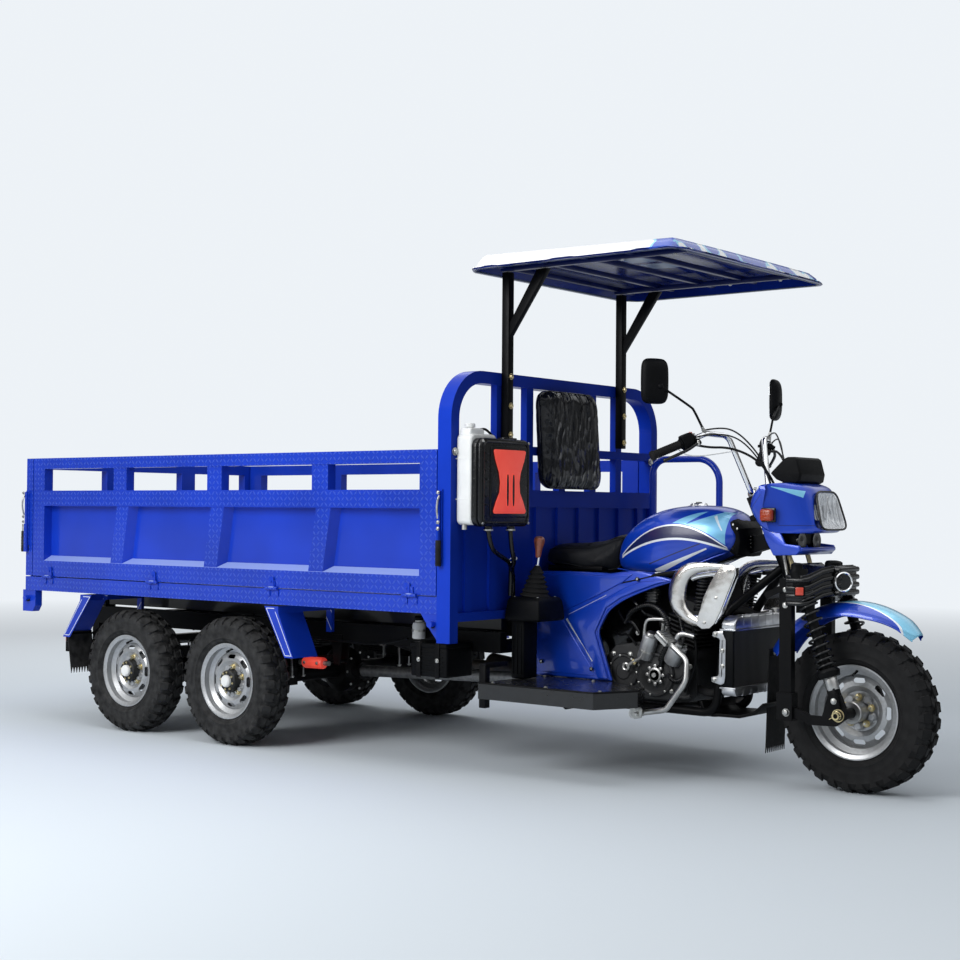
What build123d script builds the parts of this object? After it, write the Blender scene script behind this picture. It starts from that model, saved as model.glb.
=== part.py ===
from build123d import *
import math
import os

# Dump motor tricycle: one steered front wheel, two rear axles and a tipping drop-side load bed.
#
# Millimetres, +X forward, +Y to the rider's left, +Z up. Stations along X are measured from the front
# axle, so they are negative behind it; every sub-part is moved by SHIFT when it is written, which puts
# the origin on the ground under the middle of the machine's length.

os.makedirs("parts", exist_ok=True)

# ---------------------------------------------------------------- driving dimensions
wheelbase = 2659.0            # front axle to first rear axle
tandem_spacing = 685.0        # between the two rear axles
rear_track = 1388.0           # centre to centre of the rear tyres

front_tyre_od = 606.0
front_tyre_width = 142.0
front_rim_od = 357.0          # over the rim's lips
rear_tyre_od = 568.0
rear_tyre_width = 146.0
rear_rim_od = 335.0
rim_wall = 5.0
bead_depth = 14.0             # rim seat below the lip
slot_count = 8
lug_nut_count = 5
axle_stub_r = 20.0
bearing_clearance = 0.05

bed_width = 1522.0
bed_front = -1444.0           # front edge of the side gates
bed_overhang = 772.0          # tailgate's outer face behind the last axle
hinge_line_z = 706.0          # where the gates meet the sills
sill_depth = 70.0
gate_height = 584.0           # from the hinge line to the top rail
gate_sill_rail = 76.0         # lower rail of a gate
gate_window_low = 424.0       # middle rail's top and underside, above the hinge line
gate_rail_low = 349.0
gate_top_rail = 53.0
gate_rib_face = 84.0          # a pressed rib's outer face and the spread of its sides
gate_rib_flare = 24.0
gate_rib_lean = 44.0          # a rib's top ahead of its foot
gate_post = 94.0
gate_end_post = 88.0
gate_thickness = 50.0
gate_gap = 5.0                # between a gate and what it closes against
sheet = 4.0                   # pressed sheet of gates, floor and headboard

headboard_depth = 68.0        # arch tube along X
headboard_face = 50.0         # arch tube along Y
headboard_top = 1612.0
headboard_foot = 522.0
arch_radius = 200.0

canopy_width = 1200.0
canopy_rear = -1430.0
canopy_front = -455.0
canopy_rim_z = 2018.0
canopy_post_y = 422.0
canopy_tube = 36.0

rail_y = 380.0                # chassis rail centre
rail_width = 44.0
rail_top = 545.0
rail_depth = 85.0
rail_front = -1400.0
rail_set_in = 70.0            # rails end this far ahead of the tailgate
beam_y = 310.0                # bed beam centre
bed_rest_gap = 6.0            # bed beams over the chassis rails

tip_pivot_set_in = 86.0       # tipping axis ahead of the tailgate
tip_pivot_z = 552.0
tip_pin_r = 15.0
ram_base_x = -2100.0
ram_base_z = 400.0
ram_eye_x = -2980.0
ram_eye_z = 606.0
ram_bore_od = 76.0
ram_rod_od = 42.0

steer_x = -437.0              # a point on the steering axis, at the handlebar clamp
steer_z = 1141.0
rake = 24.0                   # steering axis from vertical, degrees
stem_r = 16.0
fork_half_width = 170.0
leg_x = -215.0
arm_pivot_z = 299.0
shock_foot = (-11.0, 352.0)
shock_head = (-175.0, 838.0)

foot_z = 360.0                # top of the footboards
foot_sheet = 4.0
foot_tube_x = (-780.0, -1120.0)
head_low = 790.0              # ends of the steering head's tube
head_high = 1010.0
backbone_width = 50.0
backbone_depth = 60.0

fender_r = 385.0
fender_x = -15.0
fender_z = 332.0
fender_start = 46.0           # angles from forward, degrees
fender_stop = 150.0

hinge_offset = 9.0            # gate hinge pins outside the gate's face
hinge_r = 8.0
hinge_pin_r = 4.0
knuckle_gap = 1.0
side_hinges = 4
tail_hinges = 3
tow_eye_r = 12.0
seat_gap = 0.3                # between bodywork and what it stands on
flap_low = 245.0              # rear rubber flaps above the ground

# ---------------------------------------------------------------- derived values
rear_axle_x = (-wheelbase, -wheelbase - tandem_spacing)
front_r = front_tyre_od / 2
rear_r = rear_tyre_od / 2
wheel_y = rear_track / 2
half = bed_width / 2
bed_rear = rear_axle_x[1] - bed_overhang
tip_pivot_x = bed_rear + tip_pivot_set_in
rail_rear = bed_rear + rail_set_in
gate_rear = bed_rear + gate_thickness + gate_gap
gate_bottom = hinge_line_z + gate_gap / 2
sill_top = hinge_line_z - gate_gap / 2
sill_bottom = hinge_line_z - sill_depth
gate_top = hinge_line_z + gate_height
headboard_front = bed_front + headboard_depth
foot_behind = 28.0            # the bed's rear feet stand out behind the tailgate
foot_low = sill_bottom - 106
stop_z = sill_bottom - 40
rear_overhang_x = bed_rear - foot_behind
panel_x = headboard_front - 24
SHIFT = Pos(-(front_r + rear_overhang_x) / 2, 0, 0)


# ---------------------------------------------------------------- helpers
def span(x0, x1, y0, y1, z0, z1):
    """A box between limits along each axis."""
    size = (abs(x1 - x0), abs(y1 - y0), abs(z1 - z0))
    return Pos((x0 + x1) / 2, (y0 + y1) / 2, (z0 + z1) / 2) * Box(*size)


def side_plate(points, y0, y1):
    """An outline in the XZ plane, as a plate from y0 to y1."""
    outline = Plane.XZ * make_face(Polyline(*points, close=True))
    return Pos(0, max(y0, y1), 0) * extrude(outline, amount=abs(y1 - y0), dir=(0, -1, 0))


def cross_plate(points, x0, x1):
    """An outline in the YZ plane, as a plate from x0 to x1."""
    outline = Plane.YZ * make_face(Polyline(*points, close=True))
    return Pos(min(x0, x1), 0, 0) * extrude(outline, amount=abs(x1 - x0), dir=(1, 0, 0))


def rod(start, end, radius):
    """A round bar between two points."""
    start, end = Vector(*start), Vector(*end)
    axis = end - start
    return Plane(origin=start, z_dir=axis) * extrude(Circle(radius), amount=axis.length)


def across(x, z, radius, y0, y1):
    """A round bar along Y."""
    return rod((x, y0, z), (x, y1, z), radius)


def tube(points, bend, radius):
    """A round tube along straight runs joined by bends of one radius, or a radius for each."""
    bends = bend if isinstance(bend, (list, tuple)) else [bend] * (len(points) - 2)
    path = FilletPolyline(*points, radius=bends) if len(points) > 2 else Line(*points)
    profile = Plane(origin=path @ 0, z_dir=path % 0) * Circle(radius)
    return sweep(profile, path=path)


def bar(start, end, width, depth, up=(0, 0, 1)):
    """A rectangular bar between two points; width lies across, depth along the given up."""
    start, end = Vector(*start), Vector(*end)
    axis = end - start
    across_dir = axis.cross(Vector(*up))
    section = Plane(origin=start, x_dir=across_dir, z_dir=axis) * Rectangle(width, depth)
    return extrude(section, amount=axis.length, dir=axis)


def other_side(part):
    return mirror(part, about=Plane.XZ)


def pair(part):
    """A part and its mirror image on the other side of the machine."""
    return [part, other_side(part)]


def fuse(parts):
    whole = parts[0]
    for piece in parts[1:]:
        whole = whole + piece
    return whole


def write(name, *parts):
    solids = []
    for part in parts:
        solids.extend((SHIFT * part).solids())
    export_step(Compound(children=solids), f"parts/{name}.step")


# ---------------------------------------------------------------- wheels
def tyre(od, width, rim_od):
    """A solid of the tyre's outside, square in the shoulder, seated on the rim's bead."""
    r, w, lip = od / 2, width / 2, rim_od / 2
    flange = rim_half_width(width)
    profile = [(lip - bead_depth + 0.3, flange - 5), (lip + 1, flange - 1), (lip + 8, flange + 8),
               (lip + 24, 0.97 * w), (r - 34, w), (r - 10, 0.88 * w), (r, 0.66 * w)]
    outline = profile + [(x, -y) for x, y in reversed(profile)]
    return revolve(make_face(Polyline(*outline, close=True)), axis=Axis.Y)


def rim_half_width(width):
    """From the wheel's centre to the inside of a rim flange."""
    return 0.60 * width / 2 + 10


def rim(od, width, disc_y, hub_r, hub_out, drum_r):
    """A pressed wheel: barrel with lips and drop centre, dished slotted disc, hub, drum and nuts.

    Local Y runs outward; the disc stands at disc_y. The hub's blind bore takes the axle stub.
    """
    lip, w = od / 2, rim_half_width(width)
    seat = lip - bead_depth
    well = lip - 34
    t = rim_wall
    outer = [(lip, w + t), (lip, w), (seat, w - 4), (seat, 0.45 * w), (well, 0.25 * w),
             (well, -0.25 * w), (seat, -0.45 * w), (seat, -w + 4), (lip, -w), (lip, -w - t)]
    inner = [(lip - t, -w - t), (seat - t, -w + 1), (seat - t, -0.45 * w - 2), (well - t, -0.25 * w - 2),
             (well - t, 0.25 * w + 2), (seat - t, 0.45 * w + 2), (seat - t, w - 1), (lip - t, w + t)]
    barrel = revolve(make_face(Polyline(*(outer + inner), close=True)), axis=Axis.Y)
    face = [(hub_r - 4, disc_y), (0.52 * well, disc_y), (0.66 * well, disc_y + 14),
            (0.80 * well, disc_y + 12), (well - 2, disc_y - 8)]
    back = [(x, y - t) for x, y in reversed(face)]
    disc = revolve(make_face(Polyline(*(face + back), close=True)), axis=Axis.Y)
    slot_r = 0.80 * well
    for number in range(slot_count):
        slot = Rot(90, 0, 0) * extrude(SlotOverall(0.34 * well, 0.13 * well), amount=60, both=True)
        disc -= Rot(0, 360 / slot_count * number, 0) * Pos(slot_r, 0, 0) * Rot(0, 90, 0) * slot
    hub = across(0, 0, hub_r, disc_y - 2 * t, disc_y + hub_out)
    cap = across(0, 0, 0.55 * hub_r, disc_y + hub_out, disc_y + hub_out + 12)
    drum = across(0, 0, drum_r, disc_y - t - 46, disc_y - t)
    wheel = fuse([barrel, disc, hub, cap, drum])
    for number in range(lug_nut_count):
        nut = Rot(90, 0, 0) * extrude(RegularPolygon(9, 6), amount=-12)
        turn = Rot(0, 360 / lug_nut_count * number, 0)
        wheel += turn * Pos(hub_r + 14, disc_y, 0) * nut
    bore_end = disc_y + hub_out - 8
    return wheel - across(0, 0, axle_stub_r + bearing_clearance, disc_y - t - 60, bore_end)


rear_disc_y = 18.0
rear_hub = dict(hub_r=46, hub_out=34, drum_r=96)
rear_stub_tip = rear_disc_y + rear_hub["hub_out"] - 10
front_disc_y = -8.0


def rear_wheels():
    for row, x in enumerate(rear_axle_x, start=1):
        for name, side in (("right", -1), ("left", 1)):
            place = Pos(x, side * wheel_y, rear_r) * Rot(0, 0, 0 if side > 0 else 180)
            write(f"tyre_rear_{row}_{name}", place * tyre(rear_tyre_od, rear_tyre_width, rear_rim_od))
            rim_part = rim(rear_rim_od, rear_tyre_width, rear_disc_y, **rear_hub)
            write(f"rim_rear_{row}_{name}", place * rim_part)


def front_wheel():
    place = Pos(0, 0, front_r) * Rot(0, 0, 180)
    write("tyre_front", place * tyre(front_tyre_od, front_tyre_width, front_rim_od))
    wheel = rim(front_rim_od, front_tyre_width, front_disc_y, hub_r=40, hub_out=70, drum_r=84)
    wheel -= across(0, 0, axle_stub_r + bearing_clearance, -200, 200)
    write("rim_front", place * wheel)


# ---------------------------------------------------------------- chassis
def chassis_frame():
    """Ladder frame with cross-members, spring hangers, tip-hinge ears and ram bracket."""
    parts = []
    low = rail_top - rail_depth
    for side in (-1, 1):
        y = side * rail_y
        parts.append(span(rail_rear, rail_front, y - rail_width / 2, y + rail_width / 2, low, rail_top))
    inner = rail_y - rail_width / 2
    between_axles = rear_axle_x[0] - tandem_spacing / 2
    for x in (rail_front - 30, ram_base_x + 40, between_axles, rail_rear + 116):
        parts.append(span(x - 30, x + 30, -inner, inner, low, low + 50))
    for x in (rear_axle_x[0] + 342, between_axles, rear_axle_x[1] - 342):
        for side in (-1, 1):
            y = side * rail_y
            hanger = [(x - 34, low + 30), (x + 34, low + 30), (x + 18, low - 105), (x - 18, low - 105)]
            for inside, outside in ((-28, -22), (22, 28)):
                parts.append(side_plate(hanger, y + inside, y + outside))
            parts.append(across(x, low - 90, 9, y - 28, y + 28))
    for side in (-1, 1):
        inner_ear = side * beam_y
        for offset in (-20, 20):
            y = inner_ear + offset
            ear = span(tip_pivot_x - 26, tip_pivot_x + 26, y - 4, y + 4, low, tip_pivot_z)
            ear += across(tip_pivot_x, tip_pivot_z, 26, y - 4, y + 4)
            parts.append(ear)
        parts.append(across(tip_pivot_x, tip_pivot_z, tip_pin_r, inner_ear - 30, inner_ear + 30))
    parts.append(span(tip_pivot_x - 16, tip_pivot_x + 26, -inner, inner, low, low + 44))
    for offset in (-50, 50):
        plate = [(ram_base_x - 34, ram_base_z - 30), (ram_base_x + 34, ram_base_z - 30),
                 (ram_base_x + 70, low + 50), (ram_base_x + 10, low + 50)]
        parts.append(side_plate(plate, offset - 5, offset + 5))
    parts.append(across(ram_base_x, ram_base_z, 14, -62, 62))
    parts.append(rear_cross_bar())
    write("chassis_frame", fuse(parts))


def rear_cross_bar():
    """Lower rear bar with the tow eye."""
    low = rail_top - rail_depth
    parts = []
    for side in (-1, 1):
        y = side * rail_y
        parts.append(span(rail_rear, rail_rear + 50, y - 18, y + 18, low - 90, low))
    parts.append(span(rail_rear - 8, rail_rear + 42, -560, 560, low - 140, low - 90))
    eye = span(rail_rear - 34, rail_rear - 8, -8, 8, low - 140, low - 90)
    eye += across(rail_rear - 34, low - 115, 25, -8, 8)
    parts.append(eye - across(rail_rear - 34, low - 115, tow_eye_r, -9, 9))
    return fuse(parts)


def on_axis(z, forward=0.0):
    """A point on the steering axis at height z, moved forward square to it."""
    lean = math.tan(math.radians(rake))
    square = Vector(math.cos(math.radians(rake)), 0, math.sin(math.radians(rake)))
    return Vector(steer_x + (steer_z - z) * lean, 0, z) + square * forward


def backbone(drop=0.0):
    """Ends of the frame's backbone, or of a line a given drop below it."""
    return tuple(on_axis(940) + Vector(-26, 0, -drop)), (-1000, 0, 758 - drop)


def front_cradle():
    """Head tube, twin down tubes round the engine, backbone and seat posts, footboard arms."""
    head = rod(tuple(on_axis(head_low)), tuple(on_axis(head_high)), 30)
    head -= rod(tuple(on_axis(head_low - 20)), tuple(on_axis(head_high + 20)), stem_r + bearing_clearance)
    parts = [head, bar(*backbone(), backbone_width, backbone_depth)]
    parts.append(span(-1330, -990, -25, 25, 728, 788))
    for x in (-1330, -1180):
        parts.append(span(x, x + 50, -150, 150, 750, 798.7))
    for side in (-1, 1):
        down = [tuple(on_axis(830) + Vector(-24, side * 14, 0)), (-500, side * 115, 660),
                (-545, side * 130, 262), (-1180, side * 130, 262), (-1300, side * 130, 486),
                (rail_front, side * 130, 486)]
        parts.append(tube(down, [60, 60, 60, 40], 17))
        parts.append(rod((-1300, side * 130, 780), (-1310, side * 130, 486), 17))
    for x in foot_tube_x:
        parts.append(rod((x, -330, 262), (x, 330, 262), 15))
    return fuse(parts)


def write_cradle():
    write("front_cradle", front_cradle())


def rear_axles():
    for row, x in enumerate(rear_axle_x, start=1):
        inner_end = wheel_y - 72
        parts = [across(x, rear_r, 36, -inner_end, inner_end)]
        nose = 130
        bowl = [(0, -62), (70, -56), (106, -26), (106, 26), (70, 56), (0, 62)]
        housing = revolve(make_face(Polyline(*bowl, close=True)), axis=Axis.Y)
        parts.append(Pos(x, 0, rear_r) * housing)
        parts.append(rod((x + 60, 0, rear_r), (x + nose, 0, rear_r), 40))
        for side in (-1, 1):
            tip = side * (wheel_y + rear_stub_tip)
            parts.append(across(x, rear_r, axle_stub_r, side * (inner_end - 20), tip))
            backing = side * (wheel_y - 42)
            parts.append(across(x, rear_r, 90, side * inner_end, backing))
            seat_y = side * rail_y
            parts.append(span(x - 45, x + 45, seat_y - 28, seat_y + 28, rear_r - 44, rear_r + 44))
        write(f"rear_axle_{row}", fuse(parts))


def leaf_springs():
    """Four packs of leaves with clamp plates, each on its axle seat."""
    packs = []
    for x in rear_axle_x:
        for side in (-1, 1):
            y = side * rail_y
            leaves = []
            for number in range(5):
                reach = 318 - 52 * number
                z = rear_r + 44 + 8 * (4 - number)
                rise = 30 - 8 * number
                leaf = [(x - reach, z + rise), (x - 60, z), (x + 60, z), (x + reach, z + rise),
                        (x + reach, z + rise + 8), (x + 60, z + 8), (x - 60, z + 8), (x - reach, z + rise + 8)]
                leaves.append(side_plate(leaf, y - 21, y + 21))
            leaves.append(span(x - 40, x + 40, y - 27, y + 27, rear_r + 84, rear_r + 94))
            packs.append(fuse(leaves))
    write("leaf_springs", *packs)


def propshafts():
    """Shaft from the gearbox to the first axle and the short one between the axles."""
    first, second = rear_axle_x
    front = rod((-1191.2, 0, 330), (first + 131.2, 0, rear_r), 26)
    link = rod((first - 106.3, 0, rear_r), (second + 130.3, 0, rear_r), 26)
    write("propshafts", front, link)


def ram():
    """Lifting cylinder lying under the bed: barrel on the chassis, rod to the bed."""
    base, eye = (ram_base_x, 0, ram_base_z), (ram_eye_x, 0, ram_eye_z)
    axis = Vector(*eye) - Vector(*base)
    length = axis.length
    along = axis.normalized()

    def at(distance):
        return tuple(Vector(*base) + along * distance)

    gland = length - 105
    barrel = rod(at(30), at(gland), ram_bore_od / 2) + across(ram_base_x, ram_base_z, 34, -38, 38)
    barrel += rod(at(gland - 26), at(gland), ram_bore_od / 2 + 6)
    barrel -= across(ram_base_x, ram_base_z, 14 + bearing_clearance, -60, 60)
    barrel -= rod(at(120), at(gland + 1), ram_rod_od / 2 + 0.5)
    write("dump_ram_barrel", barrel)
    piston_rod = rod(at(130), at(length - 10), ram_rod_od / 2)
    piston_rod += across(ram_eye_x, ram_eye_z, 27, -28, 28)
    piston_rod -= across(ram_eye_x, ram_eye_z, 14, -30, 30)
    write("dump_ram_rod", piston_rod)


# ---------------------------------------------------------------- load bed
def bed_floor():
    """Tread plate floor on sills, cross-members and two beams, with hinge lugs and feet."""
    floor_top = sill_top - 6
    floor_low = floor_top - sheet
    front = bed_front
    rear = bed_rear + gate_thickness + gate_gap
    parts = [span(rear, front, -half + 2, half - 2, floor_low, floor_top)]
    for side in (-1, 1):
        outer = side * half
        parts.append(span(rear, front, outer, outer - side * sheet, sill_bottom, sill_top))
        parts.append(span(rear, front, outer, outer - side * 40, sill_bottom, sill_bottom + sheet))
        parts.append(span(rear, front, outer, outer - side * 40, sill_top - sheet - 4, sill_top))
    parts.append(span(bed_rear, rear, -half, half, sill_bottom, sill_top))
    count = 8
    for number in range(count):
        x = rear + 40 + (front - rear - 80) * number / (count - 1)
        parts.append(span(x - 20, x + 20, -half + 2, half - 2, sill_bottom + 6, floor_low))
    beam_low = rail_top + bed_rest_gap
    for side in (-1, 1):
        y = side * beam_y
        parts.append(span(tip_pivot_x + 34, front - 6, y - 22, y + 22, beam_low, floor_low))
        parts.append(span(rear, tip_pivot_x + 34, y - 22, y + 22, beam_low + 36, floor_low))
        lug = span(tip_pivot_x - 24, tip_pivot_x + 24, y - 13, y + 13, tip_pivot_z, beam_low + 40)
        lug += across(tip_pivot_x, tip_pivot_z, 24, y - 13, y + 13)
        parts.append(lug - across(tip_pivot_x, tip_pivot_z, tip_pin_r + bearing_clearance, y - 14, y + 14))
    for offset in (-40, 40):
        lug = [(ram_eye_x - 26, ram_eye_z - 22), (ram_eye_x + 26, ram_eye_z - 22),
               (ram_eye_x + 90, floor_low), (ram_eye_x - 90, floor_low)]
        parts.append(side_plate(lug, offset - 5, offset + 5))
    write("bed_floor", fuse(parts + sill_hinges()))


def bed_fittings():
    """Under the sills: rear feet, front gussets to the headboard, and the stops of the lowered gates."""
    foot = [(bed_rear - foot_behind, sill_bottom), (bed_rear + 72, sill_bottom),
            (bed_rear + 72, sill_bottom - 76), (bed_rear + 50, foot_low), (bed_rear - foot_behind, foot_low)]
    gusset = [(bed_front, sill_bottom), (bed_front - 86, sill_bottom), (bed_front - 40, sill_bottom - 60),
              (bed_front, headboard_foot + 8)]
    foot_face, gusset_face = half - 6, half - 4
    pieces = [side_plate(foot, -foot_face, -foot_face + 40), side_plate(gusset, -gusset_face, -gusset_face + 10),
              across(bed_rear + 20, stop_z, 14, -foot_face, -half - 20),
              across(bed_front - 22, stop_z, 14, -gusset_face, -half - 20)]
    write("bed_fittings", *[side for piece in pieces for side in pair(piece)])


def gate_frame(length, posts, ribs):
    """One drop gate lying in its own XZ plane: Y 0 outer face to gate_thickness inward (+Y).

    Gives the pressed lower part, then the top rail and the uprights welded in under it.
    """
    t = gate_thickness
    low, high = gate_bottom, gate_top
    rail, window, eaves = hinge_line_z + gate_rail_low, hinge_line_z + gate_window_low, gate_top - gate_top_rail
    foot, head = low + gate_sill_rail, rail + 5
    ends = (0, gate_end_post), (length - gate_end_post, length)
    parts = [span(0, length, 0, t, low, foot), span(0, length, 0, t, rail, window),
             span(0, length, t - sheet, t, foot - 5, head)]
    parts.append(cross_plate([(0, foot - 1), (t - 1, foot - 1), (t - 1, foot + 26)], 0, length))
    parts += [span(x0, x1, 0, t, low, window) for x0, x1 in ends]
    for x in ribs:
        parts.append(pressed_rib(x - gate_rib_lean / 2, foot - 1, x + gate_rib_lean / 2, rail + 1))
    uprights = [span(x0, x1, 0, t, window, eaves) for x0, x1 in ends]
    uprights += [span(x - gate_post / 2, x + gate_post / 2, 4, t, window, eaves) for x in posts]
    return [fuse(parts), span(0, length, 0, t, eaves, high), *uprights]


def pressed_rib(foot_x, foot_height, head_x, head_height):
    """A hat-section rib leaning forward, its sides sloping back to the gate's sheet."""
    face, base = gate_rib_face / 2, gate_rib_face / 2 + gate_rib_flare
    ends = []
    for x, z in ((foot_x, foot_height), (head_x, head_height)):
        hat = Polyline((x - base, gate_thickness - 1), (x - face, 4), (x + face, 4),
                       (x + base, gate_thickness - 1), close=True)
        ends.append(Plane.XY.offset(z) * make_face(hat))
    return loft(ends, ruled=True)


def hinge_half(x, width, side):
    """Half of a hinge on the gate's line: strap up the gate (side 1) or down the sill (side -1)."""
    strap = span(x - width / 2, x + width / 2, -5, 0, hinge_line_z + side * 3, hinge_line_z + side * 34)
    lug = span(x - width / 2, x + width / 2, -hinge_offset - 3, 0, hinge_line_z + side * 3,
               hinge_line_z + side * 7)
    barrel = Pos(x, -hinge_offset, hinge_line_z) * Rot(0, 90, 0) * Cylinder(hinge_r, width)
    return strap + lug + barrel


def hinge_leaf_on_gate(x):
    bore = Pos(x, -hinge_offset, hinge_line_z) * Rot(0, 90, 0) * Cylinder(
        hinge_pin_r + bearing_clearance, 60)
    return hinge_half(x, 30, 1) - bore


def hinge_leaf_on_sill(x):
    pin = Pos(x, -hinge_offset, hinge_line_z) * Rot(0, 90, 0) * Cylinder(hinge_pin_r, 76)
    outer = 15 + knuckle_gap + 10
    return hinge_half(x - outer, 20, -1) + hinge_half(x + outer, 20, -1) + pin


def hinge_places(length, count):
    return [length * (0.05 + 0.90 * number / (count - 1)) for number in range(count)]


def on_right(part):
    """A gate built from its rear end, placed on the right side."""
    return Pos(gate_rear, -half, 0) * part


def at_tail(part):
    """A gate built from its end, placed across the tail with its outer face to the rear."""
    return Pos(bed_rear, half, 0) * Rot(0, 0, -90) * part


side_gate_length = bed_front - gate_gap - gate_rear


def side_gates():
    posts = [side_gate_length * number / 4 + 8 for number in (1, 2, 3)]
    panel, *lattice = gate_frame(side_gate_length, posts, posts)
    leaves = [hinge_leaf_on_gate(x) for x in hinge_places(side_gate_length, side_hinges)]
    gate = [on_right(part) for part in (fuse([panel] + leaves), *lattice)]
    write("side_gate_right", *gate)
    write("side_gate_left", *map(other_side, gate))


def tailgate():
    posts = [bed_width / 3, bed_width * 2 / 3]
    panel, *lattice = gate_frame(bed_width, posts, posts)
    leaves = [hinge_leaf_on_gate(x) for x in hinge_places(bed_width, tail_hinges)]
    panel = at_tail(fuse([panel] + leaves))
    for side in (-1, 1):
        panel += latch(bed_rear + 16, side)
    write("tailgate", panel, *map(at_tail, lattice))


def latch(x, side):
    """Over-centre latch: back plate, lever and grip on the outside of a post."""
    y = side * half
    top = hinge_line_z + gate_window_low
    parts = [span(x - 12, x + 12, y, y + side * 6, top - 270, top)]
    parts.append(span(x - 7, x + 7, y + side * 6, y + side * 18, top - 170, top - 6))
    parts.append(rod((x, y + side * 15, top - 304), (x, y + side * 15, top - 165), 10))
    return fuse(parts)


def sill_hinges():
    leaves = [on_right(hinge_leaf_on_sill(x)) for x in hinge_places(side_gate_length, side_hinges)]
    leaves += [other_side(leaf) for leaf in leaves]
    return leaves + [at_tail(hinge_leaf_on_sill(x)) for x in hinge_places(bed_width, tail_hinges)]


def headboard():
    """Arch of box tube on the bed's front, with rails, uprights, ribbed panel, gussets and latches."""
    def arch(inset, low, bend):
        width, height = bed_width - 2 * inset, headboard_top - inset - low
        outline = Rectangle(width, height)
        corners = outline.vertices().sort_by(Axis.Y)[-2:]
        outline = fillet(corners, bend)
        return Plane.YZ * Pos(0, low + height / 2) * outline

    outer = arch(0, headboard_foot, arch_radius)
    inner = arch(headboard_face, headboard_foot - 10, arch_radius - headboard_face)
    frame = Pos(bed_front, 0, 0) * extrude(outer - inner, amount=headboard_depth, dir=(1, 0, 0))
    inner_y = half - headboard_face
    parts = [frame]
    for low, high in ((1063, 1135), (1283, 1318), (606, 640)):
        parts.append(span(headboard_front - 40, headboard_front, -inner_y, inner_y, low, high))
    for y in (-440, -235, 0, 235, 440):
        parts.append(span(headboard_front - 36, headboard_front - 4, y - 23, y + 23, 1130, headboard_top - 40))
    parts.append(span(panel_x - sheet, panel_x, -inner_y, inner_y, 620, 1070))
    ribs = 9
    for number in range(ribs):
        y = -inner_y + 2 * inner_y * (number + 0.5) / ribs
        parts.append(span(panel_x - 1, panel_x + 14, y - 22, y + 22, 640, 1063))
    for side in (-1, 1):
        parts.append(latch(bed_front + 18, side))
    write("headboard", fuse(parts))


def canopy_frame():
    """Two square posts bolted to the headboard, braces and the roof's carrier bars."""
    parts = []
    t = canopy_tube
    x = headboard_front + t / 2
    for side in (-1, 1):
        y = side * canopy_post_y
        parts.append(span(x - t / 2, x + t / 2, y - t / 2, y + t / 2, 1063, canopy_rim_z + 10))
        parts.append(span(canopy_rear + 40, canopy_front - 60, y - 15, y + 15, canopy_rim_z, canopy_rim_z + 38))
        parts.append(bar((x, y, 1775), (x + 190, y, canopy_rim_z + 4), 26, 26))
    for number in range(5):
        bar_x = canopy_rear + 60 + (canopy_front - canopy_rear - 140) * number / 4
        parts.append(span(bar_x - 15, bar_x + 15, -canopy_width / 2 + 45, canopy_width / 2 - 45,
                          canopy_rim_z + 32, canopy_rim_z + 60.7))
    write("canopy_frame", fuse(parts))


def canopy_roof():
    """Crowned sheet roof with a turned-down rim, hollow below."""
    length = canopy_front - canopy_rear
    middle = (canopy_front + canopy_rear) / 2
    low = canopy_rim_z

    def pan(inset, height):
        blank = extrude(RectangleRounded(length - 2 * inset, canopy_width - 2 * inset, 90 - inset), amount=height)
        return fillet(blank.faces().sort_by(Axis.Z)[-1].edges(), 30 - inset)

    shell = pan(0, 66) - Pos(0, 0, -1) * pan(5, 62)
    ribs = [span(-length / 2 + 60, length / 2 - 60, y - 40, y + 40, 65, 71) for y in (-330, 0, 330)]
    write("canopy_roof", Pos(middle, 0, low) * (shell + ribs[0] + ribs[1] + ribs[2]))


def backrest():
    low, high = 1130, 1568
    profile = Polyline((-250, low), (250, low), (262, low + 60), (222, high - 30), (205, high),
                       (-205, high), (-222, high - 30), (-262, low + 60), close=True)
    cushion = extrude(Plane.YZ * make_face(profile), amount=62, dir=(1, 0, 0))
    cushion = fillet(cushion.faces().sort_by(Axis.X)[-1].edges(), 18)
    write("backrest", Pos(headboard_front + 0.3, 0, 0) * cushion)


def air_cleaner():
    """Filter box on the headboard's right, with its raised front insert and outlet pipe."""
    x0, x1 = headboard_front + 76, headboard_front + 131
    y0, y1, z0, z1 = -730, -405, 984, 1334
    case = span(x0, x1, y0, y1, z0, z1)
    case = fillet(case.edges().filter_by(Axis.X), 34)
    case = fillet(case.faces().sort_by(Axis.X)[-1].edges(), 10)
    centre = (y0 + y1) / 2
    insert = [(centre - 108, 1290), (centre + 108, 1290), (centre + 66, 1160), (centre + 108, 1036),
              (centre - 108, 1036), (centre - 66, 1160)]
    case += cross_plate(insert, x1 - 1, x1 + 5)
    case += rod((x0 + 26, centre + 90, 990), (x0 + 26, centre + 90, 930), 24)
    write("air_cleaner", case)


def water_tank():
    x0, x1 = headboard_front, headboard_front + 76
    tank = span(x0, x1, -730, -470, 990, 1372)
    tank = fillet(tank.edges().filter_by(Axis.Z), 14)
    cap = Pos((x0 + x1) / 2, -690, 1372 + 10) * Cylinder(20, 22)
    write("water_tank", tank + cap)


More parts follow.
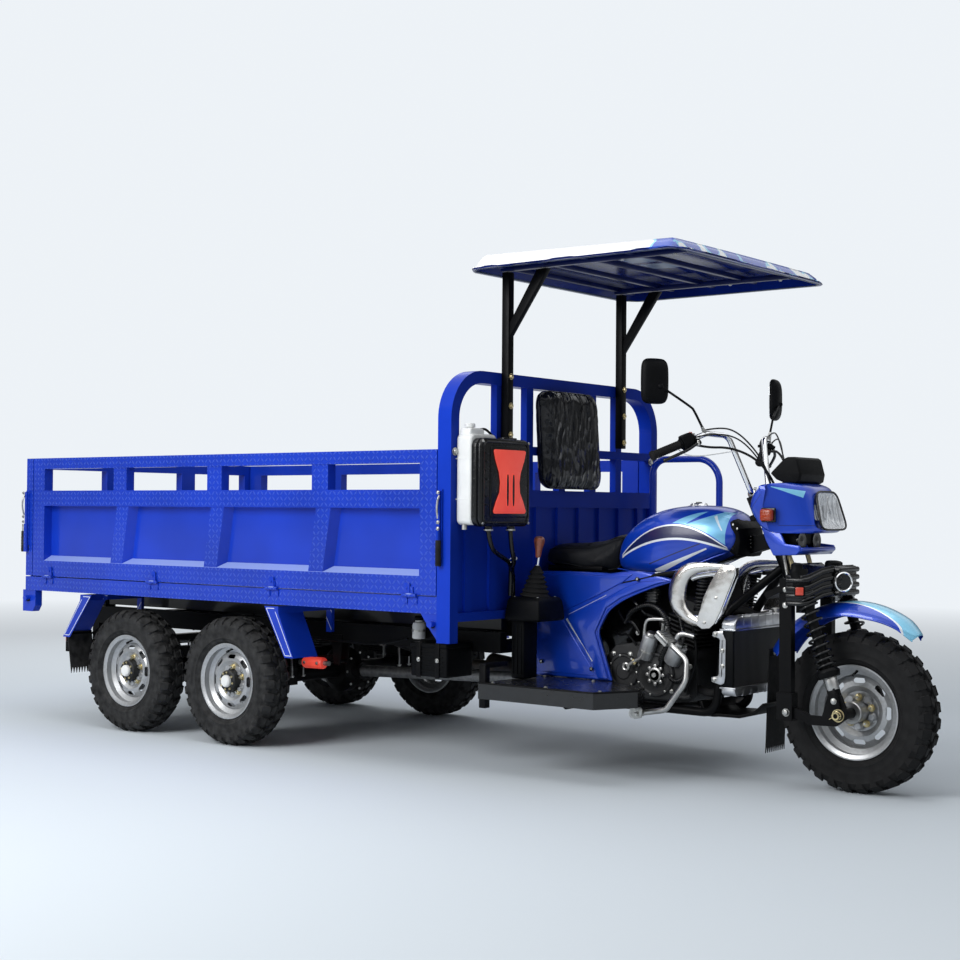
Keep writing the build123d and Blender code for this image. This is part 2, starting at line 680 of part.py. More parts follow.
# ---------------------------------------------------------------- engine bay
def engine():
    """Crankcase with round side covers, finned cylinder leaning forward, head and carburettor."""
    case = span(-1060, -640, -110, 110, 290, 500)
    case = fillet(case.edges().filter_by(Axis.Y), 50)
    parts = [case]
    for x, z, r, reach in ((-800, 400, 96, 158), (-960, 400, 78, 150)):
        parts.append(across(x, z, r, -reach, reach))
    lean = Pos(-760, 0, 480) * Rot(0, 18, 0)
    parts.append(lean * Pos(0, 0, 90) * Cylinder(58, 200))
    for number in range(7):
        parts.append(lean * Pos(0, 0, 40 + 17 * number) * Box(150, 170, 6))
    parts.append(lean * Pos(0, 0, 195) * Box(120, 140, 50))
    parts.append(rod((-860, -20, 600), (-790, -10, 580), 26))
    parts.append(rod((-1060, 0, 330), (-1190, 0, 330), 36))
    for x in foot_tube_x:
        parts.append(span(x - 16, x + 16, -60, 60, 277.3, 330))
    write("engine", fuse(parts))


def radiator():
    """Radiator in front of the down tubes: core, side brackets, pressed end tanks."""
    x = -425
    core = span(x - 16, x + 16, -236, 236, 378, 600)
    top = fillet(span(x - 28, x + 28, -246, 246, 600, 642).edges().filter_by(Axis.Y), 12)
    low = fillet(span(x - 28, x + 28, -246, 246, 346, 378).edges().filter_by(Axis.Y), 8)
    neck = Pos(x, 150, 648) * Cylinder(22, 18)
    parts = [core, top, low, neck]
    for side in (-1, 1):
        y = side * 236
        parts.append(span(x - 30, x - 10, y, y + side * 12, 400, 580))
        parts.append(span(x - 76, x - 10, side * 108, side * 132, 480, 500))
    write("radiator", fuse(parts))


def side_guards():
    """Polished loops standing out either side of the tank's front."""
    outer = [(-640, 842), (-386, 846), (-470, 640), (-500, 604), (-600, 612), (-668, 660), (-676, 740)]
    inner = [(-610, 812), (-470, 816), (-530, 650), (-590, 648), (-628, 690), (-634, 750)]
    loop = side_plate(outer, -275, -225) - side_plate(inner, -280, -220)
    stay = rod((-503, -133.4, 640), (-512, -230, 640), 9)
    write("side_guards", *pair(loop + stay))


def fuel_tank():
    sections = []
    for x, low, high, width, corner in ((-1000, 858, 955, 170, 40), (-900, 830, 1040, 300, 90),
                                        (-760, 815, 1073, 340, 110), (-600, 850, 1050, 320, 80),
                                        (-500, 885, 995, 210, 48)):
        height = high - low
        corner = min(corner, height / 2 - 4)
        section = Pos(0, (low + high) / 2) * RectangleRounded(width, height, corner)
        sections.append(Plane.YZ.offset(x) * section)
    front, rear = backbone()
    tilt = math.atan2(front[2] - rear[2], front[0] - rear[0])
    below = 140.0
    tunnel = bar(*backbone(below / 2 / math.cos(tilt)), backbone_width + 12,
                 backbone_depth + below + 2 * seat_gap)
    write("fuel_tank", loft(sections) + Pos(-700, 0, 1072) * Cylinder(32, 16) - tunnel)


def tank_nose():
    """Black moulding between the tank and the steering head."""
    outline = [(-499.7, 985), (-499.7, 890), (-462, 880), (-455, 930), (-470, 978)]
    write("tank_nose", side_plate(outline, -95, 95) - span(-520, -440, -31, 31, 850, 956))


def seat():
    sections = []
    for x, low, high, width in ((-1368, 830, 900, 310), (-1330, 812, 918, 345), (-1220, 800, 938, 340),
                                (-1090, 800, 950, 250), (-1015, 815, 948, 170)):
        section = Pos(0, (low + high) / 2) * RectangleRounded(width, high - low, 26)
        sections.append(Plane.YZ.offset(x) * section)
    write("seat", loft(sections, ruled=False))


def side_covers():
    """Body panels under seat and tank, swept forward over the engine, one each side."""
    outline = [(-1366, 800), (-1010, 785), (-668, 842), (-690, 800), (-860, 735), (-1000, 660),
               (-1053, 556), (-984, foot_z + 0.3), (-1366, foot_z + 0.3)]
    panel = side_plate(outline, -212, -176)
    inside = [(-1356, 785), (-1010, 770), (-760, 800), (-870, 750), (-1015, 672), (-1068, 556),
              (-1004, 381), (-1356, 381)]
    panel -= side_plate(inside, -208, -170)
    write("side_covers", *pair(panel))


def footboards():
    """Tread plates with a turned-down skirt, one each side, on the cradle's cross tubes."""
    plan = [(-1343, -620), (-790, -620), (-700, -450), (-745, -330), (-1000, -182), (-1343, -182)]
    plate = extrude(make_face(Polyline(*plan, close=True)), amount=-foot_sheet)
    skirt = extrude(make_face(Polyline(*plan, close=True)), amount=-62)
    skirt -= Pos(0, 0, 1) * extrude(offset(make_face(Polyline(*plan, close=True)), -3), amount=-70)
    board = Pos(0, 0, foot_z) * (plate + skirt)
    for x, inner in zip(foot_tube_x, (-316, -240)):
        board += span(x - 14, x + 14, -330, inner, 277.3, foot_z - 1)
    write("footboards", *pair(board))


def gear_console():
    """Floor console right of the seat with its boot, gear lever and knob."""
    x, y = -1278, -330
    base = span(x - 90, x + 90, y - 95, y + 95, foot_z + 0.3, 600)
    top = loft([Plane.XY.offset(600) * Pos(x, y) * Rectangle(180, 190),
                Plane.XY.offset(690) * Pos(x, y) * Rectangle(140, 140)])
    boot = loft([Plane.XY.offset(690) * Pos(x, y) * Circle(62), Plane.XY.offset(815) * Pos(x, y) * Circle(26)])
    lever = rod((x, y, 800), (x + 20, y, 890), 8)
    knob = Cylinder(21, 52)
    knob = fillet(knob.edges().filter_by(GeomType.CIRCLE), 14)
    knob = Pos(x + 23, y, 893) * Rot(0, 14, 0) * knob
    write("gear_console", fuse([base, top, boot, lever, knob]))


def brake_pedal():
    """Bent tube from the pivot under the right footboard up to its foot pad."""
    path = [(foot_tube_x[0] + 8, -345, 262), (-640, -345, 286), (-560, -330, 400), (-565, -315, 480),
            (-660, -300, 545)]
    arm = tube(path, [40, 60, 38], 11)
    pad = Pos(-672, -300, 552) * Rot(0, 40, 0) * Box(62, 70, 12)
    boss = across(foot_tube_x[0], 262, 19, -360, -330.3)
    write("brake_pedal", fuse([arm, pad, boss]))


def guard_rail():
    """Bowed tube guard on the left footboard."""
    path = [(-1297, 600, foot_z + 0.3), (-1297, 600, 1287), (-950, 600, 1287), (-950, 600, foot_z + 0.3)]
    write("guard_rail", tube(path, [70, 110], 15))


def exhaust():
    pipe = [(-635, 40, 646), (-575, 60, 610), (-585, 190, 318), (-730, 212, 216), (-1340, 215, 220)]
    parts = [tube(pipe, [20, 60, 50], 19), rod((-1330, 215, 220), (-1392, 250, 262), 24)]
    parts.append(rod((-1385, 250, 262), (-1950, 250, 330), 58))
    parts.append(rod((-1950, 250, 330), (-2050, 250, 330), 22))
    parts.append(span(-1700, -1670, 244, 372, 350, 400))
    parts.append(span(-1700, -1670, 350, 372, 350, rail_top - rail_depth - 0.3))
    write("exhaust", fuse(parts))


def battery_box():
    inner = -(rail_y + rail_width / 2)
    box = fillet(span(-1740, -1545, inner - 170, inner, 360, 500).edges().filter_by(Axis.Y), 12)
    write("battery_box", box)
    bottle = fillet(span(-1850, -1782, inner - 58, inner, 500, 588).edges().filter_by(Axis.Z), 14)
    bottle += Pos(-1816, inner - 29, 592) * Cylinder(13, 14)
    write("brake_fluid_bottle", bottle)


def mudguard(corner, foot, ahead, outer):
    """A folded guard: cheek plate outside, skin across the tyre and the arm to the chassis rail.

    It hangs from corner to foot; ahead is 1 in front of the wheels and -1 behind them.
    """
    (x1, z1), (x2, z2) = corner, foot
    inner, cheek, skin = -half + 149, 84, 3.0
    side = [(x1 - ahead * 10, z1), (x1 - ahead * cheek, z1), (x2 - ahead * 52, z2), (x2, z2),
            (x1 + ahead * 3, z1 - 30)]
    run = [(x1 - ahead * 20, z1), (x1, z1), (x1 + ahead * skin, z1 - 30), (x2, z2), (x2 - ahead * 5, z2),
           (x1 - ahead * 4, z1 - 30), (x1 - ahead * 4, z1 - skin), (x1 - ahead * 20, z1 - skin)]
    near, far = x1 - ahead * 40, x1 - ahead * 8
    arm = span(near, far, inner - 20, -rail_y - rail_width / 2, z1 - 28, z1 - 2)
    arm += span(near, far, -rail_y - rail_width / 2 - 18, -rail_y - rail_width / 2, rail_top - 45, z1 - 3)
    return side_plate(side, outer, outer + skin) + side_plate(run, outer, inner) + arm


def mudguards():
    """Guards ahead of and behind the rear wheels, with rubber flaps below the rear ones."""
    top = sill_bottom - 8
    outer = -(half + 1)
    first, last = rear_axle_x[0] + 328, rear_axle_x[1] - 336
    ahead_foot, behind_foot = (first + 94, 411), (last - 131, 419)
    pieces = [mudguard((first, top), ahead_foot, 1, outer), mudguard((last, top), behind_foot, -1, outer)]
    write("rear_mudguards", *[side for piece in pieces for side in pair(piece)])
    x, z = behind_foot
    flap = [(x + 24.6, z + 26), (x + 30.6, z + 26), (x + 66, flap_low), (x + 60, flap_low)]
    write("rear_mudflaps", *pair(side_plate(flap, outer + 4, -612)))


def tail_lamps():
    x = rail_rear - 8
    top_of_bar = rail_top - rail_depth - 90
    lamp = fillet(span(x - 34, x, -540, -400, top_of_bar - 8, top_of_bar + 44).edges().filter_by(Axis.X), 10)
    write("tail_lamps", *pair(lamp))


# ---------------------------------------------------------------- steering
def axis_frame(z):
    """A plane on the steering axis at height z: local Z up the axis, local X forward."""
    return Plane(origin=on_axis(z), x_dir=(math.cos(math.radians(rake)), 0, math.sin(math.radians(rake))),
                 z_dir=(-math.sin(math.radians(rake)), 0, math.cos(math.radians(rake))))


def fork():
    """Stem, yokes, upright legs, leading arms, dampers and axle."""
    low_yoke, high_yoke = 748.0, 1036.0
    parts = [rod(tuple(on_axis(low_yoke - 10)), tuple(on_axis(high_yoke + 10)), stem_r)]
    parts.append(axis_frame(low_yoke) * span(-38, 62, -192, 192, -12, 12))
    parts.append(axis_frame(high_yoke) * span(-32, 90, -88, 88, -10, 10))
    for side in (-1, 1):
        y = side * fork_half_width
        parts.append(axis_frame(high_yoke) * span(-15, 15, side * 48, side * 86, 8, 80.3))
        parts.append(span(leg_x - 25, leg_x + 25, y - 16, y + 16, 330, 800))
        parts.append(span(leg_x - 32, leg_x + 32, y - 24, y + 24, 268, 372))
        parts.append(across(leg_x + 9, arm_pivot_z, 11, y - 32, y + 32))
        arm = [(leg_x + 20, 322), (leg_x + 60, 312), (leg_x + 96, 294), (-66, 294), (-44, 372), (6, 376),
               (24, 334), (24, 288), (-10, 262), (-120, 258), (leg_x + 60, 276), (leg_x + 20, 276)]
        parts.append(side_plate(arm, y - 10, y + 10))
        foot, head = (shock_foot[0], y, shock_foot[1]), (shock_head[0], y, shock_head[1])
        parts.append(rod(foot, head, 20))
        direction = (Vector(*head) - Vector(*foot)).normalized()
        start = Vector(*foot) + direction * 110
        parts.append(rod(tuple(start), tuple(start + direction * 12), 36))
        end = Vector(*foot) + direction * 442
        parts.append(rod(tuple(end), tuple(end + direction * 60), 37))
        parts.append(span(leg_x, -140, y - 16, y + 16, 786, 812))
    parts.append(across(0, front_r, axle_stub_r, -188, 188))
    parts.append(across(0, front_r, 15, -204, 204))
    parts.append(span(-240, -210, -50, 50, 664.5, 756))
    write("fork", fuse(parts))


def fork_springs():
    springs = []
    for side in (-1, 1):
        y = side * fork_half_width
        foot, head = Vector(shock_foot[0], y, shock_foot[1]), Vector(shock_head[0], y, shock_head[1])
        direction = (head - foot).normalized()
        start = foot + direction * 122.3
        height = 319.4
        coils = 11
        outline = [(21, 0)]
        for number in range(coils):
            base = height * number / coils
            outline += [(30, base + 2), (35, base + 10), (35, base + 18), (30, base + 26)]
        outline += [(21, height)]
        section = make_face(Polyline(*[(r, 0, z) for r, z in outline], close=True))
        coil = revolve(section, axis=Axis.Z)
        springs.append(Plane(origin=start, z_dir=direction) * coil)
    write("fork_springs", *springs)


def fork_cover():
    """Ribbed cover across the front of the lower yoke, wrapping the damper tops."""
    def plan(grow):
        return [(-66 + grow, -128), (-66 + grow, 128), (-112 + grow, 214 + grow), (-176, 214 + grow),
                (-176, -214 - grow), (-112 + grow, -214 - grow)]

    z0, z1 = 732, 850
    cover = Pos(0, 0, z0) * extrude(make_face(Polyline(*plan(0), close=True)), amount=z1 - z0)
    for number in range(4):
        z = z0 + 14 + 30 * number
        cover += Pos(0, 0, z) * extrude(make_face(Polyline(*plan(7), close=True)), amount=14)
    cavity = [(-71, -126), (-71, 126), (-115, 209), (-240, 209), (-240, -209), (-115, -209)]
    cover -= Pos(0, 0, z0 - 5) * extrude(make_face(Polyline(*cavity, close=True)), amount=z1 - z0)
    cover += Pos(-100, 0, z1 + 6) * Cylinder(22, 16)
    cover += Pos(-58, 0, 784) * Rot(0, 90, 0) * Cylinder(24, 6)
    write("fork_cover", cover)


def arc_band(radius, thickness, half_width, start, stop, lip):
    """A curved guard round the front axle between two angles, with turned-down edges."""
    profile = [(radius, -half_width), (radius, half_width), (radius - lip, half_width),
               (radius - lip, half_width - thickness), (radius - thickness, half_width - thickness),
               (radius - thickness, -half_width + thickness), (radius - lip, -half_width + thickness),
               (radius - lip, -half_width)]
    section = make_face(Polyline(*[(r, y, 0) for r, y in profile], close=True))
    section = Rot(0, -start, 0) * section
    return revolve(section, axis=Axis((0, 0, 0), (0, -1, 0)), revolution_arc=stop - start)


def front_fender():
    band = arc_band(fender_r, 3, 82, fender_start, fender_stop, 18)
    write("front_fender", Pos(fender_x, 0, fender_z) * band)


def front_mudflap():
    def tail(radius, angle):
        turn = math.radians(angle)
        return fender_x + radius * math.cos(turn), fender_z + radius * math.sin(turn)

    end = fender_stop + 0.05
    flap = [tail(fender_r, end), tail(fender_r - 6, end), (-308, 142), (-314, 142)]
    write("front_mudflap", side_plate(flap, -76, 76))


def handlebar():
    right = [(-425, 0, 1122), (-422, -70, 1122), (-486, -145, 1346), (-520, -250, 1352), (-655, -425, 1262)]
    left = [(x, -y, z) for x, y, z in reversed(right)]
    path = left[:-1] + right[1:]
    bar_tube = tube(path, [40, 45, 28, 28, 45, 40], 11)
    write("handlebar", bar_tube)


def hand_controls():
    """Grips with switch blocks, levers and their perches."""
    start, end = Vector(-520, -250, 1352), Vector(-655, -425, 1262)
    along = (end - start).normalized()
    grip = rod(tuple(end - along * 125), tuple(end + along * 6), 17)
    block = rod(tuple(end - along * 178), tuple(end - along * 125), 24)
    lever = tube([tuple(end - along * 168 + Vector(24, 0, -8)), tuple(end - along * 110 + Vector(52, 0, -14)),
                  tuple(end - along * 10 + Vector(46, 0, -20))], [30], 5)
    perch = rod(tuple(end - along * 168), tuple(end - along * 168 + Vector(34, 0, -10)), 9)
    part = fuse([grip, block, perch, lever]) - rod(tuple(start), tuple(end), 11.1)
    write("hand_controls", *pair(part))


def mirrors():
    """Mirror heads on bent stalks, rising from the control perches."""
    stalk = tube([(-556, -297, 1352), (-536, -335, 1443), (-612, -422, 1512)], [24], 5)
    head = Pos(-622, -424, 1548) * Rot(0, 0, -28) * Box(22, 118, 176)
    head = fillet(head.edges().filter_by(lambda e: e.length > 10), 9)
    write("mirrors", *pair(stalk + head))


def headlight_shell():
    """Nacelle round the headlight, notched at the back for the steering head."""
    profile = [(-356, 1152), (-390, 1074), (-336, 984), (-284, 884), (-186, 892), (-118, 972),
               (-164, 1136), (-240, 1156)]
    body = side_plate(profile, -170, 170)
    plan = [(-400, -168), (-400, 168), (-300, 170), (-100, 122), (-100, -122), (-300, -170)]
    body &= Pos(0, 0, 800) * extrude(make_face(Polyline(*plan, close=True)), amount=500)
    body -= span(-420, -303, -92, 92, 860, 1180)
    body -= span(-420, -200, -150, 150, 860, 972)
    write("headlight_shell", body)


def headlight_lens():
    lens = [(-117.0, 974), (-162, 1132), (-151, 1136), (-97, 974)]
    write("headlight_lens", side_plate(lens, -112, 112))


def indicators():
    lamp = fillet(span(-320, -268, -200, -170.2, 1016, 1062).edges().filter_by(Axis.Y), 8)
    write("indicators", *pair(lamp))


def instrument_pod():
    pod = [(-300, 1156.3), (-190, 1156.3), (-186, 1200), (-210, 1246), (-286, 1262), (-312, 1200)]
    body = side_plate(pod, -108, 108)
    write("instrument_pod", body)


# ---------------------------------------------------------------- the whole machine
front_wheel()
rear_wheels()
chassis_frame()
write_cradle()
rear_axles()
leaf_springs()
propshafts()
ram()
bed_floor()
bed_fittings()
side_gates()
tailgate()
headboard()
canopy_frame()
canopy_roof()
backrest()
air_cleaner()
water_tank()
engine()
radiator()
side_guards()
fuel_tank()
tank_nose()
seat()
side_covers()
footboards()
gear_console()
brake_pedal()
guard_rail()
exhaust()
battery_box()
mudguards()
tail_lamps()
fork()
fork_springs()
fork_cover()
front_fender()
front_mudflap()
handlebar()
hand_controls()
mirrors()
headlight_shell()
headlight_lens()
indicators()
instrument_pod()
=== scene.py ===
"""Looks of a dump motor tricycle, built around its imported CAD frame.

Laid out as an add-on: sizes and colours are properties, each piece or group of like pieces is an
operator, and a panel lists them. Everything is in metres in the frame's own coordinates.
"""
import math

import bpy
from bpy.props import FloatProperty, FloatVectorProperty, IntProperty, PointerProperty
from mathutils import Matrix, Vector


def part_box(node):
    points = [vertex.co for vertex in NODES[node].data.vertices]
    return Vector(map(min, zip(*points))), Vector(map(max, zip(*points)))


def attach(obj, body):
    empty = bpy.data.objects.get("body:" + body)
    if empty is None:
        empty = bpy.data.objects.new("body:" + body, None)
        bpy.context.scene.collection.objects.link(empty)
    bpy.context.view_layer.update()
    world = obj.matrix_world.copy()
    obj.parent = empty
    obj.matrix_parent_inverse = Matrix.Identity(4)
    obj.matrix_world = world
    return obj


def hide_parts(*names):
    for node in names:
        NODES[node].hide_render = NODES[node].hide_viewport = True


bl_info = {
    "name": "Dump tricycle looks",
    "version": (1, 0, 0),
    "blender": (4, 5, 0),
    "location": "3D Viewport > Sidebar > Tricycle",
    "description": "Models the visible pieces and finishes of a three-wheeled tipper",
    "category": "Object",
}

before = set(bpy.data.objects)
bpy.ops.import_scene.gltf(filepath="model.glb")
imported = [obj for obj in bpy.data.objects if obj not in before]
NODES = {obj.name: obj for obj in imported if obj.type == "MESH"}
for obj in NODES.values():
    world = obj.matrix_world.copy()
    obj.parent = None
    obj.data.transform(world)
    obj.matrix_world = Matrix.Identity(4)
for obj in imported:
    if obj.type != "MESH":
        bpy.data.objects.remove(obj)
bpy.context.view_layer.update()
MM = 0.001


def middle(node):
    """The centre of a CAD node's box."""
    low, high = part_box(node)
    return (low + high) / 2


FRONT_AXLE = middle("tyre_front")


def at(x, y, z):
    """A point given in millimetres: x from the front axle, y from the middle, z from the ground."""
    return Vector((FRONT_AXLE.x + x * MM, y * MM, z * MM))


# ------------------------------------------------------------------ properties
def colour(name, about, value):
    return FloatVectorProperty(name=name, description=about, default=value, subtype="COLOR",
                               size=3, min=0, max=1)


def length(name, about, value):
    return FloatProperty(name=name, description=about, default=value, unit="LENGTH", subtype="DISTANCE")


class TrikeColours(bpy.types.PropertyGroup):
    """Colours of the paints, plastics and lamps."""

    bed_blue: colour("Bed blue", "Enamel on the load bed and its gates", (0.006, 0.040, 0.46))
    body_blue: colour("Body blue", "Lacquer on tank, covers and fenders", (0.002, 0.046, 0.47))
    # Also paints highlights on the side covers and in the tank's reflection.
    accent_white: colour("Accent white", "Light stripes on the body panels", (0.80, 0.84, 0.88))
    # Also paints reflections on the tank's flank and along the roof's front.
    accent_sky: colour("Accent sky", "Light blue stripes on the body panels", (0.22, 0.58, 0.80))
    # Also paints shade on the headboard's front, in the headlight housing's creases and along the tank's
    # wedge.
    accent_navy: colour("Accent navy", "Dark field between the stripes", (0.004, 0.010, 0.075))
    # Also paints the shade under the load bed.
    frame_black: colour("Frame black", "Paint on the chassis and fork", (0.0022, 0.0025, 0.0032))
    rubber: colour("Rubber", "Tyres, flaps and grips", (0.0115, 0.0115, 0.012))
    # Also paints the shade on the inner faces of the side covers.
    plastic: colour("Black plastic", "Covers and boxes", (0.0024, 0.0028, 0.0036))
    vinyl: colour("Vinyl", "Seat and backrest covers", (0.0050, 0.0060, 0.0085))
    silver: colour("Wheel silver", "Wheel paint", (0.44, 0.45, 0.46))
    alloy: colour("Cast alloy", "Engine castings", (0.42, 0.43, 0.44))
    gold: colour("Zinc gold", "Passivated nuts and bolts", (0.62, 0.53, 0.30))
    roof_white: colour("Roof white", "Top of the canopy", (0.84, 0.85, 0.86))
    amber: colour("Amber", "Turn lamps", (0.62, 0.07, 0.010))
    red: colour("Red", "Reflectors and the filter box insert", (1.0, 0.11, 0.065))
    knob: colour("Knob", "Gear lever knob", (0.30, 0.075, 0.030))


class TrikeSizes(bpy.types.PropertyGroup):
    """Sizes of details that the CAD frame doesn't carry."""

    lug_height: length("Lug height", "How far the tread blocks stand off the carcass", 0.0125)
    lug_pitches: IntProperty(name="Lug pitches", description="Tread blocks round a tyre",
                             default=30, min=12, max=60)
    spring_turns: IntProperty(name="Spring turns", description="Coils of a fork spring",
                              default=12, min=4, max=20)
    spring_wire: length("Spring wire", "Wire thickness of a fork spring", 0.0095)
    bolt_head: length("Bolt head", "Width across the flats of the body bolts", 0.017)
    tread_cell: length("Tread cell", "Spacing of the lozenges on the tread plate", 0.024)


def sizes():
    return bpy.context.scene.trike_sizes


def tone(name):
    """One of the colour properties, as red, green, blue and alpha."""
    return (*getattr(bpy.context.scene.trike_colours, name), 1.0)


# ------------------------------------------------------------------ shader maths
class Sock:
    """An output socket or a number that takes arithmetic and adds the Math nodes for it."""

    def __init__(self, finish, value):
        self.finish, self.value = finish, value

    def math(self, operation, *others, clamp=False):
        node = self.finish.node("Math", {"operation": operation, "use_clamp": clamp},
                                dict(enumerate((self, *others))))
        return Sock(self.finish, node.outputs[0])

    def __add__(self, other):
        return self.math("ADD", other)

    def __sub__(self, other):
        return self.math("SUBTRACT", other)

    def __rsub__(self, other):
        return Sock(self.finish, other).math("SUBTRACT", self)

    def __mul__(self, other):
        return self.math("MULTIPLY", other)

    def __truediv__(self, other):
        return self.math("DIVIDE", other)

    __radd__, __rmul__ = __add__, __mul__

    def __neg__(self):
        return self * -1

    def __abs__(self):
        return self.math("ABSOLUTE")

    def above(self, edge, soft=0.0005):
        """1 where this is over the edge, 0 below it, over a soft border."""
        return ((self - edge) / soft + 0.5).math("MAXIMUM", 0).math("MINIMUM", 1)

    def below(self, edge, soft=0.0005):
        return 1 - self.above(edge, soft)

    def inside(self, low, high, soft=0.0005):
        return self.above(low, soft) * self.below(high, soft)


class Finish:
    """A material being built, with the nodes that most finishes share."""

    def __init__(self, name, **values):
        self.material = bpy.data.materials.new(name)
        self.material.use_nodes = True
        self.tree = self.material.node_tree
        self.shader = self.tree.nodes["Principled BSDF"]
        self.set(**values)
        texture = self.node("TexCoord")
        self.place = texture.outputs["Object"]
        split = self.node("SeparateXYZ", {}, {0: self.place})
        self.x, self.y, self.z = (Sock(self, out) for out in split.outputs)
        split = self.node("SeparateXYZ", {}, {0: texture.outputs["Normal"]})
        self.nx, self.ny, self.nz = (Sock(self, out) for out in split.outputs)

    def node(self, kind, settings=None, sockets=None):
        """Adds a shader node: its settings first, then the values or links of its sockets."""
        node = self.tree.nodes.new("ShaderNode" + kind)
        for key, value in (settings or {}).items():
            if key == "stops":
                for number, (position, shade) in enumerate(value):
                    ramp = node.color_ramp.elements
                    stop = ramp[number] if number < len(ramp) else ramp.new(position)
                    stop.position, stop.color = position, shade
            else:
                setattr(node, key, value)
        for key, value in (sockets or {}).items():
            self.feed(node.inputs[key], value)
        return node

    def feed(self, socket, value):
        value = value.value if isinstance(value, Sock) else value
        if isinstance(value, bpy.types.NodeSocket):
            self.tree.links.new(value, socket)
        else:
            socket.default_value = value

    def set(self, **values):
        """Sets the shader's sockets; an underscore in a name stands for a space."""
        for key, value in values.items():
            name = " ".join(word.capitalize() for word in key.split("_")).replace("Ior", "IOR")
            self.feed(self.shader.inputs[name], value)

    def noise(self, scale, detail=2.0, stretch=None):
        """Fractal noise from 0 to 1 at a scale per metre."""
        place = self.place
        if stretch:
            place = self.node("Mapping", {}, {"Vector": place, "Scale": stretch}).outputs[0]
        node = self.node("TexNoise", {}, {"Vector": place, "Scale": scale, "Detail": detail})
        return Sock(self, node.outputs[0])

    def stroke(self, start, end, first, last, soft=0.0006):
        """1 on a straight stroke seen from the side, between two points in millimetres (x, z).

        Its half-width goes from first to last, in millimetres too.
        """
        (x0, _, z0), (x1, _, z1) = at(start[0], 0, start[1]), at(end[0], 0, end[1])
        run = math.hypot(x1 - x0, z1 - z0)
        ux, uz = (x1 - x0) / run, (z1 - z0) / run
        along = (self.x - x0) * ux + (self.z - z0) * uz
        off = abs((self.x - x0) * uz - (self.z - z0) * ux)
        width = along / run * ((last - first) * MM) + first * MM
        return off.below(width, soft) * along.inside(0, run, soft)

    def cells(self, scale):
        """Distance from the middles of random cells at a scale per metre."""
        node = self.node("TexVoronoi", {}, {"Vector": self.place, "Scale": scale})
        return Sock(self, node.outputs[0])

    def mix(self, mask, first, second):
        """The first colour where the mask is 0, the second where it is 1."""
        node = self.node("Mix", {"data_type": "RGBA"}, {0: mask, 6: first, 7: second})
        return node.outputs[2]

    def ramp(self, value, *stops):
        return self.node("ValToRGB", {"stops": stops}, {0: value}).outputs[0]

    def bump(self, height, distance=0.001, strength=1.0):
        """Raises the surface by the height times a distance in metres."""
        node = self.node("Bump", {}, {"Strength": strength, "Distance": distance, "Height": height})
        self.feed(self.shader.inputs["Normal"], node.outputs[0])

    def tinted(self, shade, scale=6.0, amount=0.10):
        """A colour that drifts a little darker and lighter over the surface."""
        dark = tuple(part * (1 - amount) for part in shade[:3]) + (1,)
        light = tuple(min(1, part * (1 + amount)) for part in shade[:3]) + (1,)
        return self.ramp(self.noise(scale), (0.35, dark), (0.65, light))

    def tread(self, cell):
        """Height of tread plate: small lozenges standing crosswise in turn, on any flat face."""
        side, flat = abs(self.nx).above(0.7, 0.1), abs(self.nz).above(0.7, 0.1)
        u = (self.x + (self.y - self.x) * side) / cell
        v = (self.z + (self.y - self.z) * flat) / cell
        column, row = u.math("FLOOR"), v.math("FLOOR")
        turn = (column + row).math("MODULO", 2).math("ABSOLUTE") * 2 - 1
        p, q = u - column - 0.5, v - row - 0.5
        along, over = abs(p + q * turn), abs(p - q * turn)
        return (1 - along * 1.15 - over * 3.6).above(0.12, 0.24)


FINISHES = {}


def finish(name):
    """The material of that name, built when it is first asked for."""
    if name not in bpy.data.materials:
        FINISHES[name](name)
    return bpy.data.materials[name]


def makes(*names):
    """Registers a function as the builder of these finishes."""
    def keep(build):
        FINISHES.update({name: build for name in names})
        return build
    return keep


def arc_height(s, start, end, rise):
    """Height over a chord between two stations, as a parabola with a rise in its middle."""
    t = (s - start) / (end - start)
    return t * (1 - t) * (4 * rise)


# ------------------------------------------------------------------ modelling
def primitive(kind, **settings):
    """Adds a mesh primitive on its own: nothing else is selected."""
    bpy.ops.object.select_all(action="DESELECT")
    getattr(bpy.ops.mesh, f"primitive_{kind}_add")(**settings)
    return bpy.context.object


def only(obj):
    """Selects one object and makes it active."""
    bpy.ops.object.select_all(action="DESELECT")
    obj.select_set(True)
    bpy.context.view_layer.objects.active = obj
    return obj


def settle(obj):
    """Puts an object's place, turn and scale into its mesh."""
    only(obj)
    bpy.ops.object.transform_apply(location=True, rotation=True, scale=True)
    return obj


def modify(obj, kind, **settings):
    """Adds a modifier with these settings and applies it."""
    only(obj)
    modifier = obj.modifiers.new(kind, kind)
    for key, value in settings.items():
        setattr(modifier, key, value)
    bpy.ops.object.modifier_apply(modifier=modifier.name)
    return obj


def rounded(obj, width, segments=2, angle=35):
    """Bevels the edges that are sharper than an angle."""
    return modify(obj, "BEVEL", width=width, segments=segments, limit_method="ANGLE",
                  angle_limit=math.radians(angle))


def smoothed(obj, levels=2):
    return modify(obj, "SUBSURF", levels=levels, render_levels=levels)


def block(low, high, edge=0.0, segments=2):
    """A box between two corners, its edges rounded."""
    low, high = Vector(low), Vector(high)
    obj = settle(primitive("cube", size=1, location=(low + high) / 2,
                           scale=[max(abs(a), 1e-5) for a in high - low]))
    return rounded(obj, edge, segments) if edge else obj


